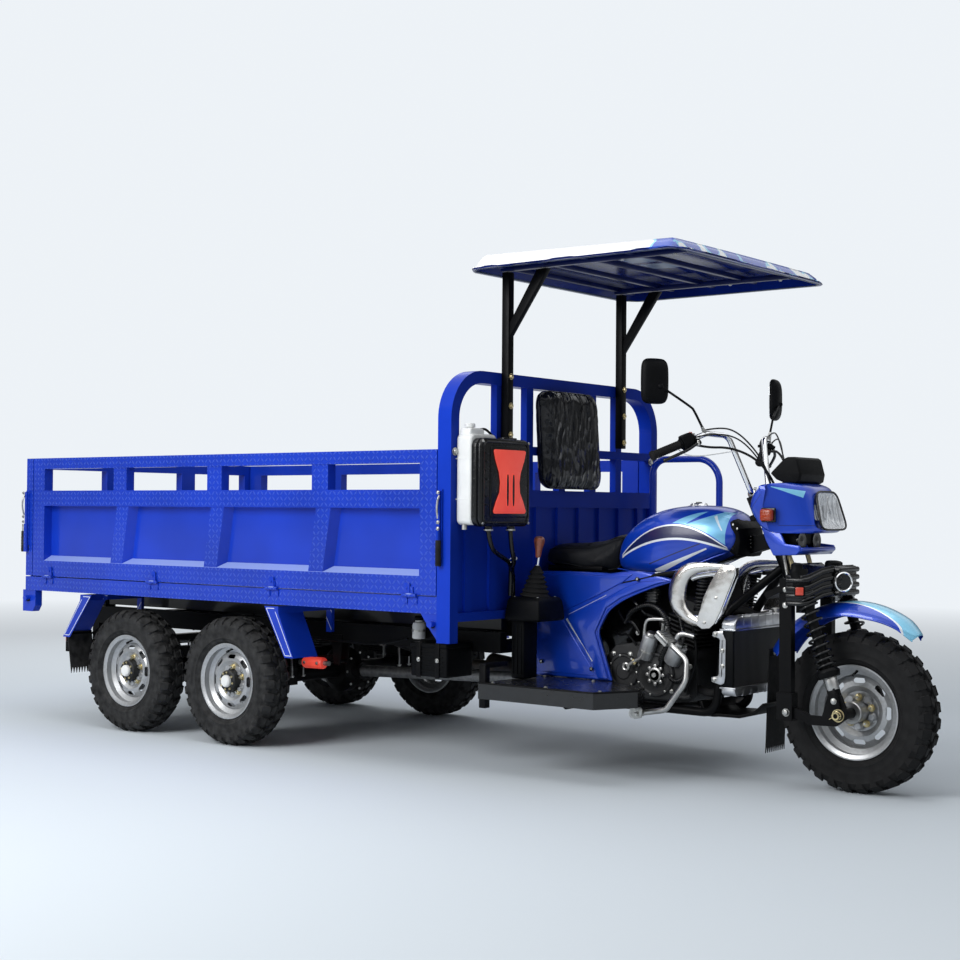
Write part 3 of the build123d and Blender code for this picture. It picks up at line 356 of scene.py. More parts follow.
def rod(start, end, radius, end_radius=None, sides=24, edge=0.0):
    """A round bar or cone between two points."""
    start, end = Vector(start), Vector(end)
    axis = end - start
    obj = primitive("cone", vertices=sides, radius1=radius,
                    radius2=radius if end_radius is None else end_radius, depth=axis.length,
                    location=(start + end) / 2, rotation=axis.to_track_quat("Z", "Y").to_euler())
    settle(obj)
    return rounded(obj, edge, 2, 50) if edge else obj


def ball(centre, radius, rings=16):
    return settle(primitive("uv_sphere", radius=radius, location=centre, segments=2 * rings,
                            ring_count=rings))


def chain(points):
    """A line of edges through points, drawn by extruding one vertex."""
    points = [Vector(point) for point in points]
    obj = settle(primitive("plane", size=0.01, location=points[0]))
    bpy.ops.object.mode_set(mode="EDIT")
    bpy.ops.mesh.merge(type="CENTER")
    for before, after in zip(points, points[1:]):
        bpy.ops.mesh.extrude_region_move(TRANSFORM_OT_translate={"value": after - before})
    bpy.ops.object.mode_set(mode="OBJECT")
    return obj


def edit(obj, *steps, select="SELECT"):
    """Runs mesh operators on the whole of an object, each a name and its settings."""
    only(obj)
    bpy.ops.object.mode_set(mode="EDIT")
    bpy.ops.mesh.select_all(action=select)
    for name, settings in steps:
        getattr(bpy.ops.mesh, name)(**settings)
    bpy.ops.object.mode_set(mode="OBJECT")
    return obj


OUTWARD = ("normals_make_consistent", {"inside": False})
MERGE = ("remove_doubles", {"threshold": 0.00005})


def outline(points):
    """A flat face inside a closed line of points."""
    obj = chain(points)
    return edit(obj, ("edge_face_add", {}))


def plate(points, depth, edge=0.0, segments=2):
    """An outline given a thickness along a vector."""
    depth = Vector(depth)
    obj = outline(points)
    edit(obj, ("extrude_region_move", {"TRANSFORM_OT_translate": {"value": depth}}))
    edit(obj, OUTWARD)
    return rounded(obj, edge, segments) if edge else obj


def turned(points, centre, axis, steps=48):
    """A profile spun all the way round an axis; its ends lie on the axis or it is closed."""
    obj = chain(points)
    return edit(obj, ("spin", {"steps": steps, "angle": math.tau, "center": Vector(centre),
                               "axis": Vector(axis)}), MERGE, OUTWARD)


def skin(rows, columns, shape, closed=True):
    """A grid laid over a surface: shape takes two numbers from 0 to 1 and gives the point."""
    obj = primitive("grid", x_subdivisions=rows, y_subdivisions=columns, size=1)
    for vertex in obj.data.vertices:
        vertex.co = shape(vertex.co.x + 0.5, vertex.co.y + 0.5)
    obj.matrix_world = Matrix.Identity(4)
    return edit(obj, MERGE, *([OUTWARD] if closed else []))


def tube(points, radius, rings=10, smooth=True, cyclic=False):
    """A round tube along a smooth or a straight-run line of points."""
    data = bpy.data.curves.new("tube", "CURVE")
    data.dimensions = "3D"
    data.bevel_depth, data.bevel_resolution = radius, rings // 4 + 1
    data.use_fill_caps = True
    spline = data.splines.new("NURBS" if smooth else "POLY")
    spline.points.add(len(points) - 1)
    for control, point in zip(spline.points, points):
        control.co = (*point, 1)
    spline.use_cyclic_u = cyclic
    if smooth:
        spline.order_u = 3
        spline.use_endpoint_u = not cyclic
        spline.resolution_u = 5
    obj = bpy.data.objects.new("tube", data)
    bpy.context.scene.collection.objects.link(obj)
    only(obj)
    bpy.ops.object.convert(target="MESH")
    return edit(bpy.context.object, MERGE, OUTWARD)


def painted(obj, name):
    """Gives an object one finish."""
    obj.data.materials.clear()
    obj.data.materials.append(finish(name))
    return obj


def slab(name, low, high, edge=0.0, segments=2):
    """A box in one finish, between two corners in millimetres."""
    return painted(block(at(*low), at(*high), edge, segments), name)


def bar(name, start, end, *size, **settings):
    """A round bar or cone in one finish, between two places in millimetres; its size as for a rod."""
    return painted(rod(at(*start), at(*end), *size, **settings), name)


def pipe(name, points, radius, rings=8, **settings):
    """A tube in one finish, through places in millimetres."""
    return painted(tube([at(*point) for point in points], radius, rings, **settings), name)


def side_plate(name, y, points, depth, *edge):
    """A plate in one finish from its (x, z) outline at a station y, with a depth across in metres."""
    return painted(plate([at(x, y, z) for x, z in points], (0, depth, 0), *edge), name)


def face_plate(name, x, points, depth, *edge):
    """A plate in one finish from its (y, z) outline at a station x, with a depth ahead in metres."""
    return painted(plate([at(x, y, z) for y, z in points], (depth, 0, 0), *edge), name)


def lathe(name, centre, axis, profile, steps):
    """A turned part in one finish: its profile gives radius and height along an axis in millimetres."""
    place = {"X": lambda r, h: (h, 0, r), "Y": lambda r, h: (0, h, r), "Z": lambda r, h: (r, 0, h)}[axis]
    line = [Vector(centre) + Vector(place(r, h)) * MM for r, h in profile]
    return painted(turned(line, centre, place(0, 1), steps), name)


def placed(matrix, *pairs):
    """Objects modelled at the origin, each with its finish, moved to their place."""
    for obj, name in pairs:
        obj.data.transform(matrix)
        painted(obj, name)
    return [obj for obj, _ in pairs]


def round_steps(count):
    """Cosines and sines at even steps round a circle."""
    return [(math.cos(math.tau * n / count), math.sin(math.tau * n / count)) for n in range(count)]


def copied(obj, *matrices):
    """Copies of an object, each with its own mesh moved by a matrix."""
    made = []
    for matrix in matrices:
        twin = obj.copy()
        twin.data = obj.data.copy()
        twin.data.transform(matrix)
        if matrix.determinant() < 0:
            twin.data.flip_normals()
        bpy.context.scene.collection.objects.link(twin)
        made.append(twin)
    return made


MIRROR = Matrix.Scale(-1, 4, (0, 1, 0))


def both_sides(*objects):
    """The objects and their mirror images on the left of the machine."""
    return [*objects, *(twin for obj in objects for twin in copied(obj, MIRROR))]


def join(parts):
    """Joins parts into the first of them; each keeps its finish."""
    bpy.ops.object.select_all(action="DESELECT")
    for part in parts:
        part.select_set(True)
    bpy.context.view_layer.objects.active = parts[0]
    if len(parts) > 1:
        bpy.ops.object.join()
    return bpy.context.object


def hand_over(parts, name, body, replaces=(), smooth=32):
    """Joins the parts of a piece, names it, shades it and lets it ride on its CAD body."""
    obj = settle(join(list(parts)))
    obj.name = obj.data.name = name
    bpy.ops.object.shade_smooth_by_angle(angle=math.radians(smooth))
    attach(obj, body)
    if replaces:
        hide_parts(*replaces)
    return obj


def bolts(places, out, size=None, name="zinc", washer=True):
    """Hexagon bolt heads on washers, standing out along a direction: one is modelled, the rest are copies.

    Places are points in metres, or tuples in millimetres.
    """
    across_flats = size or sizes().bolt_head
    out = Vector(out).normalized()
    places = [place if isinstance(place, Vector) else at(*place) for place in places]
    first = rod(places[0], places[0] + out * across_flats * 0.5, across_flats * 0.577, sides=6,
                edge=across_flats * 0.05)
    if washer:
        first = join([first,
                      rod(places[0], places[0] + out * across_flats * 0.14, across_flats * 0.78, sides=16)])
    painted(first, name)
    return [first, *copied(first, *(Matrix.Translation(place - places[0]) for place in places[1:]))]


AHEAD, RIGHT, UP, DOWN = (1, 0, 0), (0, -1, 0), (0, 0, 1), (0, 0, -1)


def lofted(rings, levels=2):
    """A smooth closed body through rings of as many points each; its ends are drawn together."""
    count = len(rings[0])
    ends = [sum((Vector(p) for p in ring), Vector()) / count for ring in (rings[0], rings[-1])]
    rings = [[ends[0]] * count, *rings, [ends[1]] * count]
    last = len(rings) - 1
    obj = skin(last, count, lambda u, v: Vector(rings[round(u * last)][round(v * count) % count]))
    return smoothed(obj, levels) if levels else obj


def sided(half_ring):
    """A ring in YZ from its right half, bottom to top, whose first and last points lie in the middle."""
    return [Vector(p) for p in half_ring] + [Vector((p[0], -p[1], p[2])) for p in half_ring[-2:0:-1]]


def cable(points, diameter, name, finish_name, body, slot, far_end="object", **facts):
    """A flexible line on one smooth spline through control points."""
    data = bpy.data.curves.new(name, "CURVE")
    data.dimensions = "3D"
    spline = data.splines.new("NURBS")
    spline.points.add(len(points) - 1)
    for control, point in zip(spline.points, points):
        control.co = (*point, 1)
    spline.order_u = 3
    spline.use_endpoint_u = True
    spline.resolution_u = 8
    obj = bpy.data.objects.new(name, data)
    bpy.context.scene.collection.objects.link(obj)
    bpy.context.view_layer.update()
    line = bpy.data.meshes.new_from_object(obj)
    bpy.data.meshes.remove(line)
    data.bevel_depth, data.bevel_resolution = diameter / 2, 3
    data.use_fill_caps = True
    data.materials.append(finish(finish_name))
    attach(obj, body)
    return (obj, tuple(points[0]))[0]


def toothed(top, low, half_width, teeth):
    """A rubber flap whose lower edge is cut into teeth, and the bar that clamps its top."""
    points = [top + Vector((0, -half_width, 0)), low + Vector((0, -half_width, 0))]
    for number in range(teeth):
        y = -half_width + 2 * half_width * (number + 0.5) / teeth
        points += [low + Vector((0.001, y - 0.003, 0.026)), low + Vector((0.001, y + 0.003, 0.026)),
                   low + Vector((0, y + half_width / teeth, 0))]
    points.append(top + Vector((0, half_width, 0)))
    flap = painted(plate(points, (-0.004, 0, 0)), "flap rubber")
    reach = half_width - 0.006
    fixing = block(top + Vector((-0.006, -reach, -0.030)), top + Vector((0.003, reach, -0.006)), 0.002)
    return [flap, painted(fixing, "frame black")]


def puffed(obj, voxel, cap):
    """Swells a cushion inside its cover: cloth under pressure whose movement is capped, in metres."""
    modify(obj, "REMESH", mode="VOXEL", voxel_size=voxel)
    only(obj)
    scene = bpy.context.scene
    rest = [vertex.co.copy() for vertex in obj.data.vertices]
    cloth = obj.modifiers.new("Cloth", "CLOTH")
    cloth.settings.use_pressure = True
    cloth.settings.uniform_pressure_force = 4
    cloth.settings.effector_weights.gravity = 0
    for number in range(1, 21):
        scene.frame_set(number)
    bpy.ops.object.modifier_apply(modifier=cloth.name)
    scene.frame_set(1)
    for vertex, start in zip(obj.data.vertices, rest):
        move = vertex.co - start
        if move.length > cap:
            vertex.co = start + move.normalized() * cap
    return smoothed(obj, 1)


def onto(obj, points, lift=0.0):
    """The points brought to the nearest place on an object's surface, and lifted a little off it."""
    bpy.context.view_layer.update()
    found = (obj.closest_point_on_mesh(Vector(point)) for point in points)
    return [place + normal * lift for _, place, normal, _ in found]


def coil(start, end, radius, wire, turns, rings=6):
    """A helical spring between two points, its end coils drawn close."""
    start, end = Vector(start), Vector(end)
    axis = (end - start).normalized()
    side = axis.orthogonal().normalized()
    other = axis.cross(side)
    steps = turns * 12
    points = []
    for number in range(steps + 1):
        t = number / steps
        climb = t - 0.035 * math.sin(math.tau * t)
        angle = math.tau * turns * t
        points.append(start + axis * climb * (end - start).length
                      + (side * math.cos(angle) + other * math.sin(angle)) * radius)
    return tube(points, wire / 2, rings)


def ribbed(points, radius, pitch, depth, name):
    """A corrugated hose in one finish along a smooth line, its rings a pitch apart."""
    data = tube(points, radius - depth, 8)
    line = [Vector(point) for point in points]
    fine = []
    for before, here, after in zip(line, line[1:], line[2:]):
        first, last = (before + here) / 2, (here + after) / 2
        count = max(2, round((last - first).length / pitch))
        for number in range(count):
            t = number / count
            fine.append((first * (1 - t) ** 2 + here * 2 * t * (1 - t) + last * t * t,
                         (here - first) * (1 - t) + (last - here) * t))
    rings = []
    for place, way in fine:
        way = way.normalized() * pitch * 0.28
        rings.append(rod(place - way, place + way, radius, sides=14, edge=depth * 0.5))
    return [painted(part, name) for part in (data, *rings)]


# ------------------------------------------------------------------ finishes
METAL = {"metallic": 1.0}

PLAIN = {
    # Fixed sockets; colour, with the scale and amount of its drift; roughness noise as scale, detail, span,
    # least and stretch; bump noise as scale, detail and height in metres. A detail of 0 gives cells.
    "chrome": (METAL, ((0.80, 0.81, 0.82),), (25.0, 3.0, 0.12, 0.04)),
    "mirror glass": (METAL, ((0.70, 0.73, 0.76),), (8.0, 2.0, 0.02, 0.01)),
    "polished plate": (METAL, ((0.70, 0.68, 0.65),), (16.0, 3.0, 0.2, 0.13), (13.0, 2.0, 0.005)),
    "brushed steel": (METAL, ((0.46, 0.46, 0.45), 20.0, 0.2), (90.0, 3.0, 0.3, 0.22, (1, 14, 14))),
    "end tank": (METAL, ((0.52, 0.53, 0.55), 18.0, 0.15), (55.0, 3.0, 0.25, 0.20), (120.0, 2.0, 0.0004)),
    "zinc": (METAL, ((0.50, 0.50, 0.48), 60.0, 0.25), (120.0, 2.0, 0.25, 0.24)),
    "gold zinc": (METAL, ("gold", 60.0, 0.25), (120.0, 2.0, 0.25, 0.24)),
    "cast alloy": ({"metallic": 0.85}, ("alloy", 12.0, 0.18), (70.0, 3.0, 0.3, 0.30), (900.0, 3.0, 0.0004)),
    # Near black: a dark casting colour, darkened further as painted shade for the engine deep under its
    # covers.
    "dark casting": ({"metallic": 0.3}, ((0.014, 0.0145, 0.0155), 15.0, 0.3), (80.0, 3.0, 0.3, 0.38),
                     (800.0, 3.0, 0.0005)),
    "black plastic": ({"specular_ior_level": 0.09}, ("plastic", 10.0, 0.2), (50.0, 2.0, 0.18, 0.40),
                      (900.0, 0, 0.0002)),
    "gloss plastic": ({"specular_ior_level": 0.4}, ("plastic", 10.0, 0.2), (50.0, 2.0, 0.18, 0.16),
                      (120.0, 2.0, 0.0001)),
    "white plastic": ({"subsurface_weight": 0.15, "subsurface_radius": (0.01, 0.01, 0.01)},
                      ((0.80, 0.81, 0.80), 12.0, 0.05), (30.0, 2.0, 0.15, 0.35), (60.0, 2.0, 0.0006)),
    # The red insert glows a little, though it is no lamp: painted light, wherever this finish is used.
    "red insert": ({"coat_weight": 0.2, "coat_roughness": 0.2, "emission_color": (1.0, 0.06, 0.045, 1),
                    "emission_strength": 0.3}, ("red", 20.0, 0.10), (60.0, 2.0, 0.15, 0.32),
                    (700.0, 2.0, 0.0002)),
    "knob": ({"coat_weight": 0.6, "coat_roughness": 0.1}, ("knob", 60.0, 0.35), (90.0, 2.0, 0.2, 0.25)),
}


@makes(*PLAIN)
def plain(name):
    """One of the plain finishes: a drifting colour, an uneven gloss and a fine grain."""
    values, (shade, *drift), (scale, detail, span, least, *stretch), *grains = PLAIN[name]
    f = Finish(name, **values)
    shade = tone(shade) if isinstance(shade, str) else (*shade, 1)
    f.set(base_color=f.tinted(shade, *drift) if drift else shade,
          roughness=f.noise(scale, detail, *stretch) * span + least)
    for scale, detail, height in grains:
        f.bump(f.noise(scale, detail) if detail else f.cells(scale), height)


def enamel(name):
    """Glossy blue enamel over steel."""
    f = Finish(name, roughness=0.32, specular_ior_level=0.2, coat_weight=0.3, coat_roughness=0.08)
    f.base = f.tinted(tone("bed_blue"), 3.0, 0.10)
    f.grain = f.noise(260.0, 2.0) * 0.06 + f.noise(26.0, 1.0) * 0.12
    return f


@makes("bed enamel")
def bed_enamel(name):
    f = enamel(name)
    f.set(base_color=f.base)
    f.bump(f.grain, 0.0012)


@makes("bed tread")
def bed_tread(name):
    """Enamel with lozenges on the sills, painted lighter as a highlight; the underside and the cross-members
    are painted black as shade.
    """
    f = enamel(name)
    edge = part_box("side_gate_left")[1].y - 0.029
    sill = abs(f.y).above(edge, 0.002)
    floor_top = f.z.above(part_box("bed_floor")[1].z - 0.012, 0.002) * f.nz.above(0.5, 0.1)
    tail = f.x.below(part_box("bed_floor")[0].x + 0.012, 0.002)
    # seen: the sills, the floor's top and the tail; everything else is painted black as shade under the bed
    seen = sill.math("MAXIMUM", floor_top).math("MAXIMUM", tail)
    lozenge = f.tread(sizes().tread_cell)
    # lighter blue on the lozenges: a painted highlight
    light = f.mix(lozenge * 0.36, f.base, (0.08, 0.17, 0.74, 1))
    f.set(base_color=f.mix(seen, tone("frame_black"), light))
    f.bump(f.grain + lozenge * seen, 0.0022)


@makes("gate paint")
def gate_paint(name):
    """Bed enamel whose tread plate covers the outer faces and leaves the recessed panels smooth; lozenges and
    upward ledges are painted lighter as highlights.
    """
    f = enamel(name)
    low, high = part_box("tailgate")[0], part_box("side_gate_left")[1]
    outer_side = abs(f.y).above(high.y - 0.022, 0.001) * abs(f.ny).above(0.7, 0.1)
    tail = f.x.below(low.x + 0.022, 0.001) * abs(f.nx).above(0.7, 0.1)
    mask = outer_side.math("MAXIMUM", tail)
    lozenge = f.tread(sizes().tread_cell) * mask
    # upward faces below the top rail: a painted pale highlight
    ledge_highlight = f.nz.above(0.55, 0.3) * f.z.below(high.z - 0.1, 0.002)
    # lighter blue on the lozenges: a painted highlight
    shade = f.mix(lozenge * 0.36, f.base, (0.08, 0.17, 0.74, 1))
    f.set(base_color=f.mix(ledge_highlight * 0.7, shade, (0.42, 0.54, 0.88, 1)))
    f.bump(f.grain + lozenge, 0.0022)


@makes("headboard paint")
def headboard_paint(name):
    """Bed enamel whose forward faces are darkened towards navy as painted shade of the canopy."""
    f = enamel(name)
    # forward faces: painted shade, mixed towards navy
    shaded = f.nx.above(0.5, 0.4)
    f.set(base_color=f.mix(shaded * 0.45, f.base, tone("accent_navy")), coat_weight=0.15 - shaded * 0.15,
          specular_ior_level=0.05)
    f.bump(f.grain + f.noise(9.0, 1.0) * 0.5, 0.0012)


def lacquer(name):
    """Deep clear-coated body colour with a little metal in it."""
    f = Finish(name, metallic=0.25, roughness=0.30, coat_weight=0.7, coat_roughness=0.04)
    f.base = f.tinted(tone("body_blue"), 5.0, 0.12)
    return f


@makes("frame black")
def frame_black(name):
    """Satin frame paint, dustier low down."""
    f = Finish(name, specular_ior_level=0.09)
    dust = f.noise(14.0, 4.0) * f.z.below(0.75, 0.9)
    f.set(base_color=f.mix(dust * 0.05, tone("frame_black"), (0.10, 0.095, 0.088, 1)),
          roughness=f.noise(40.0, 3.0) * 0.25 + 0.28)
    f.bump(f.noise(420.0, 2.0), 0.0002)


@makes("tyre rubber", "flap rubber")
def rubber(name):
    f = Finish(name, specular_ior_level=0.10)
    dust = f.noise(26.0, 5.0)
    # more of the light dust colour on the rear tyres: partly dust, partly painted light for their brighter
    # lighting
    amount = f.x.below(at(-1500, 0, 0).x, 0.2) * 0.34 + 0.10
    f.set(base_color=f.mix(dust.above(0.54, 0.5) * amount, tone("rubber"), (0.100, 0.100, 0.100, 1)),
          roughness=f.noise(60.0, 3.0) * 0.25 + 0.50)
    f.bump(f.noise(650.0, 3.0), 0.00035)


@makes("wheel silver")
def wheel_silver(name):
    f = Finish(name, metallic=0.65, coat_weight=0.25, coat_roughness=0.2)
    grime = f.cells(90.0) * f.noise(30.0, 4.0)
    f.set(base_color=f.mix(grime.above(0.30, 0.35) * 0.22, tone("silver"), (0.16, 0.15, 0.14, 1)),
          roughness=f.noise(35.0, 2.0) * 0.2 + 0.26)
    f.bump(f.noise(500.0, 2.0), 0.00015)


@makes("seat vinyl", "backrest vinyl")
def vinyl(name):
    """Grained cover stretched over foam."""
    gloss = name == "backrest vinyl"
    f = Finish(name, specular_ior_level=0.30 if gloss else 0.16)
    f.set(base_color=f.tinted(tone("vinyl"), 9.0, 0.3),
          roughness=f.noise(30.0, 3.0) * 0.15 + (0.08 if gloss else 0.34))
    if gloss:
        sag = f.noise(3.0, 2.0, (1, 2.0, 1.0))
        folds = 1 - abs(f.noise(7.5, 2.0, (1, 1.8, 0.7)) - 0.5) * 9
        f.bump(folds.math("MAXIMUM", 0) * 0.3 + sag, 0.014)
    else:
        f.bump(f.cells(750.0) * 0.5 + f.noise(1200.0, 2.0) * 0.3, 0.0005)


@makes("amber lens", "red lens")
def coloured_lens(name):
    f = Finish(name, transmission_weight=0.25, ior=1.49, roughness=0.08)
    shade = tone("amber" if name == "amber lens" else "red")
    prism = f.cells(210.0)
    f.set(base_color=f.mix(prism.above(0.3, 0.4) * 0.5, shade, tuple(0.45 * c for c in shade[:3]) + (1,)))
    f.bump(prism, 0.0006)


@makes("clear lens")
def clear_lens(name):
    """Ribbed clear cover, mostly see-through."""
    f = Finish(name, base_color=(0.92, 0.95, 0.98, 1), ior=1.49, roughness=0.03, transmission_weight=0.6)
    f.set(alpha=(f.y * 260.0).math("SINE") * 0.06 + 0.20)
    f.bump(f.noise(40.0, 1.0), 0.0002)


@makes("reflector")
def reflector(name):
    """Bright vacuum-coated bowl in flutes."""
    f = Finish(name, metallic=0.45, base_color=(0.92, 0.93, 0.95, 1))
    f.set(roughness=f.noise(30.0) * 0.06 + 0.08)
    f.bump((f.y * 330.0).math("SINE") + f.cells(34.0), 0.0022)


@makes("exhaust steel")
def exhaust_steel(name):
    """Heat-blued pipe turning to dull grey at the silencer."""
    f = Finish(name, metallic=0.8)
    heat = f.noise(18.0, 3.0)
    f.set(base_color=f.ramp(heat, (0.3, (0.10, 0.10, 0.11, 1)), (0.7, (0.17, 0.14, 0.11, 1))),
          roughness=f.noise(60.0, 3.0) * 0.3 + 0.36)
    f.bump(f.noise(500.0, 3.0), 0.0003)


@makes("galvanised")
def galvanised(name):
    f = Finish(name, metallic=0.7)
    spangle = f.cells(55.0)
    f.set(base_color=f.ramp(spangle, (0.0, (0.18, 0.185, 0.19, 1)), (1.0, (0.34, 0.345, 0.35, 1))),
          roughness=f.noise(50.0) * 0.25 + 0.30)


@makes("tank blue")
def tank_blue(name):
    """Body colour; two swept white lines with a dark field between, a white wedge, a painted sky reflection
    with a painted highlight, and a painted shadow line along the wedge.
    """
    f = lacquer(name)
    s = f.x - at(0, 0, 0).x
    first, last = -0.985, -0.505
    chord = (s - first) * 0.085 + 0.866
    low, high = chord + arc_height(s, first, last, 0.058), chord + arc_height(s, first, last, 0.106)
    side = abs(f.ny).above(0.12, 0.1)
    run = s.inside(first, last, 0.004) * side
    field = f.z.inside(low, high) * run
    light = (f.z.inside(low - 0.009, low) + f.z.inside(high, high + 0.006)) * run
    # painted sky reflection on the upper flank, cut through by a dark streak
    sky_reflection = f.z.inside(high + 0.010, high + (s + 0.75) * 0.56) * s.inside(-0.735, -0.508, 0.002)
    sky_reflection = sky_reflection * (1 - f.stroke((-668, 1002), (-548, 1062), 1, 17))
    # painted white highlight in the reflection
    shine = f.stroke((-560, 1034), (-522, 976), 5, 2)
    wedge = f.stroke((-812, 806), (-580, 905), 12, 3) * side
    # painted shadow line in navy along the white wedge
    dark = f.stroke((-838, 838), (-604, 924), 2.4, 2.4) * side
    shade = f.mix(sky_reflection * abs(f.ny).above(0.05, 0.1) * 0.85, f.base, tone("accent_sky"))
    shade = f.mix(shine * 0.75, shade, tone("accent_white"))
    shade = f.mix(field.math("MAXIMUM", dark), shade, tone("accent_navy"))
    f.set(base_color=f.mix(light.math("MAXIMUM", wedge), shade, tone("accent_white")),
          coat_weight=0.55 - field * 0.4, metallic=0.25 - field * 0.25)
    f.bump(f.noise(180.0, 1.0), 0.00012)


@makes("cover blue")
def cover_blue(name):
    """Body colour with painted white highlights along a crease slanting down ahead of the engine and along
    the raised band; inner faces painted black as shade.
    """
    f = lacquer(name)
    outward = f.ny * f.y
    # painted highlights: a white line along the crease, a thin one along the raised band's upper edge
    crease_highlight = f.stroke((-1206, 604), (-1072, 436), 5.5, 2.5)
    band_highlight = f.stroke((-1196, 622), (-1010, 708), 1.2, 1.2) * 0.6
    shade = f.mix(crease_highlight.math("MAXIMUM", band_highlight), f.base, tone("accent_white"))
    # faces turned inward take the black plastic colour: painted shade inside the covers
    f.set(base_color=f.mix(outward.below(-0.02, 0.02), shade, tone("plastic")))
    f.bump(f.noise(180.0, 1.0), 0.00012)


@makes("fender blue")
def fender_blue(name):
    """Body colour; the fender's side edges carry a light stripe that widens towards its tip."""
    f = lacquer(name)
    s = f.x - at(0, 0, 0).x
    tip = s.above(-0.16, 0.01)
    wide = (s + 0.16) * 0.11
    sky = (f.y + 0.022).inside(-wide, wide, 0.002) * tip
    white = ((f.y + 0.022 + wide).inside(-0.005, 0.0) + (f.y + 0.022 - wide).inside(0.0, 0.005)) * tip
    shade = f.mix(sky, f.base, tone("accent_sky"))
    f.set(base_color=f.mix(white, shade, tone("accent_white")))
    f.bump(f.noise(180.0, 1.0), 0.00012)


@makes("nacelle blue")
def nacelle_blue(name):
    """Body colour with a light blade along the cheek of the headlight housing, and navy lines in its creases
    as painted shade.
    """
    f = lacquer(name)
    side = abs(f.ny).above(0.25, 0.1)
    blade = f.stroke((-296, 1148), (-176, 1118), 1.0, 13) * side
    # navy lines along the creases of the cheek: painted shade in the grooves
    crease = (f.stroke((-262, 1000), (-136, 1000), 1.3, 1.3)
              + f.stroke((-372, 1060), (-330, 1118), 1.2, 1.2)) * side
    creased = f.mix(crease * 0.8, f.base, tone("accent_navy"))
    f.set(base_color=f.mix(blade, creased, tone("accent_sky")))
    f.bump(f.noise(180.0, 1.0), 0.00012)


@makes("roof skin")
def roof_skin(name):
    """White on top with slanting light-blue and blue streaks along the front as painted reflections, dark
    blue underneath with pale panels as painted light through the roof.
    """
    f = Finish(name, roughness=0.25, coat_roughness=0.08)
    top = f.nz.above(0.02, 0.04)
    front = f.x.above(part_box("canopy_roof")[1].x - 0.16, 0.05)
    # slanting streaks along the front: painted reflections, light blue round blue
    slant = f.noise(7.0, 1.0, (0.7, 1.5, 1.0)) + front * 0.06
    shade = f.mix(slant.above(0.47, 0.01) * front, tone("roof_white"), tone("accent_sky"))
    shade = f.mix(slant.above(0.51, 0.01) * front, shade, (0.006, 0.06, 0.45, 1))
    s = f.x - at(0, 0, 0).x
    # two pale patches underneath: painted light showing through the roof
    panels = s.inside(-1.010, -0.830) * abs(abs(f.y) - 0.09).below(0.066)
    under = f.mix(panels, f.tinted((0.002, 0.014, 0.15, 1), 4.0, 0.2), (0.28, 0.36, 0.50, 1))
    f.set(base_color=f.mix(top, under, shade), coat_weight=top * 0.4, specular_ior_level=0.2)
    f.bump(f.noise(30.0, 1.0), 0.0004)


@makes("roof rim", "carrier blue")
def painted_edge(name):
    """Dark enamel on the canopy's carriers, lighter on its rim."""
    f = Finish(name, roughness=0.35, specular_ior_level=0.2)
    f.set(base_color=f.tinted((0.05, 0.07, 0.12, 1) if name == "roof rim" else (0.0015, 0.007, 0.065, 1),
                              8.0, 0.2))
    f.bump(f.noise(90.0, 2.0), 0.0003)


@makes("guard enamel")
def guard_enamel(name):
    """Bed enamel with a thin pale line inside the edges of the mudguards' cheeks."""
    f = enamel(name)
    lines = (((-2402, 618), (-2287, 421)), ((-2348, 605), (-2248, 418)), ((-2402, 619), (-2354, 619)),
             ((-2287, 420), (-2249, 420)), ((-3608, 619), (-3763, 429)), ((-3670, 604), (-3800, 430)),
             ((-3608, 619), (-3658, 619)), ((-3763, 429), (-3799, 429)))
    mask = sum((f.stroke(start, end, 1.6, 1.6) for start, end in lines), Sock(f, 0.0))
    mask = mask.math("MINIMUM", 1) * abs(f.ny).above(0.7, 0.1)
    f.set(base_color=f.mix(mask * 0.85, f.base, tone("accent_white")))
    f.bump(f.grain, 0.0012)


@makes("radiator core")
def radiator_core(name):
    """Black core: flat tubes upright, fine fins between them."""
    f = Finish(name, roughness=0.55, specular_ior_level=0.3)
    tubes = (f.y * 700.0).math("SINE") * 0.5 + 0.5
    fins = (f.z * 2400.0).math("SINE") * 0.5 + 0.5
    f.set(base_color=f.mix(tubes.above(0.6, 0.3) * 0.6, (0.004, 0.004, 0.005, 1), (0.022, 0.022, 0.024, 1)))
    f.bump(tubes * 0.8 + fins * 0.3, 0.0014)


@makes("footboard tread")
def footboard_tread(name):
    """Black painted tread plate, worn bright on its lozenges."""
    f = Finish(name, specular_ior_level=0.6)
    top = f.nz.above(0.7, 0.1)
    lozenge = f.tread(0.030) * top
    worn = lozenge * f.noise(9.0, 3.0).above(0.42, 0.2)
    f.set(base_color=f.mix(worn * 0.5, tone("frame_black"), (0.12, 0.13, 0.16, 1)),
          roughness=f.noise(30.0, 3.0) * 0.2 + 0.14)
    f.bump(lozenge + f.noise(300.0) * 0.1, 0.0022)


# ------------------------------------------------------------------ stage and frame
def light_area(name, place, target, size, watts):
    """A square soft lamp at a place, facing a target."""
    data = bpy.data.lights.new(name, "AREA")
    data.shape, data.size, data.energy = "SQUARE", size, watts
    lamp = bpy.data.objects.new(name, data)
    lamp.location = place
    lamp.rotation_euler = (Vector(target) - Vector(place)).to_track_quat("-Z", "Y").to_euler()
    bpy.context.scene.collection.objects.link(lamp)


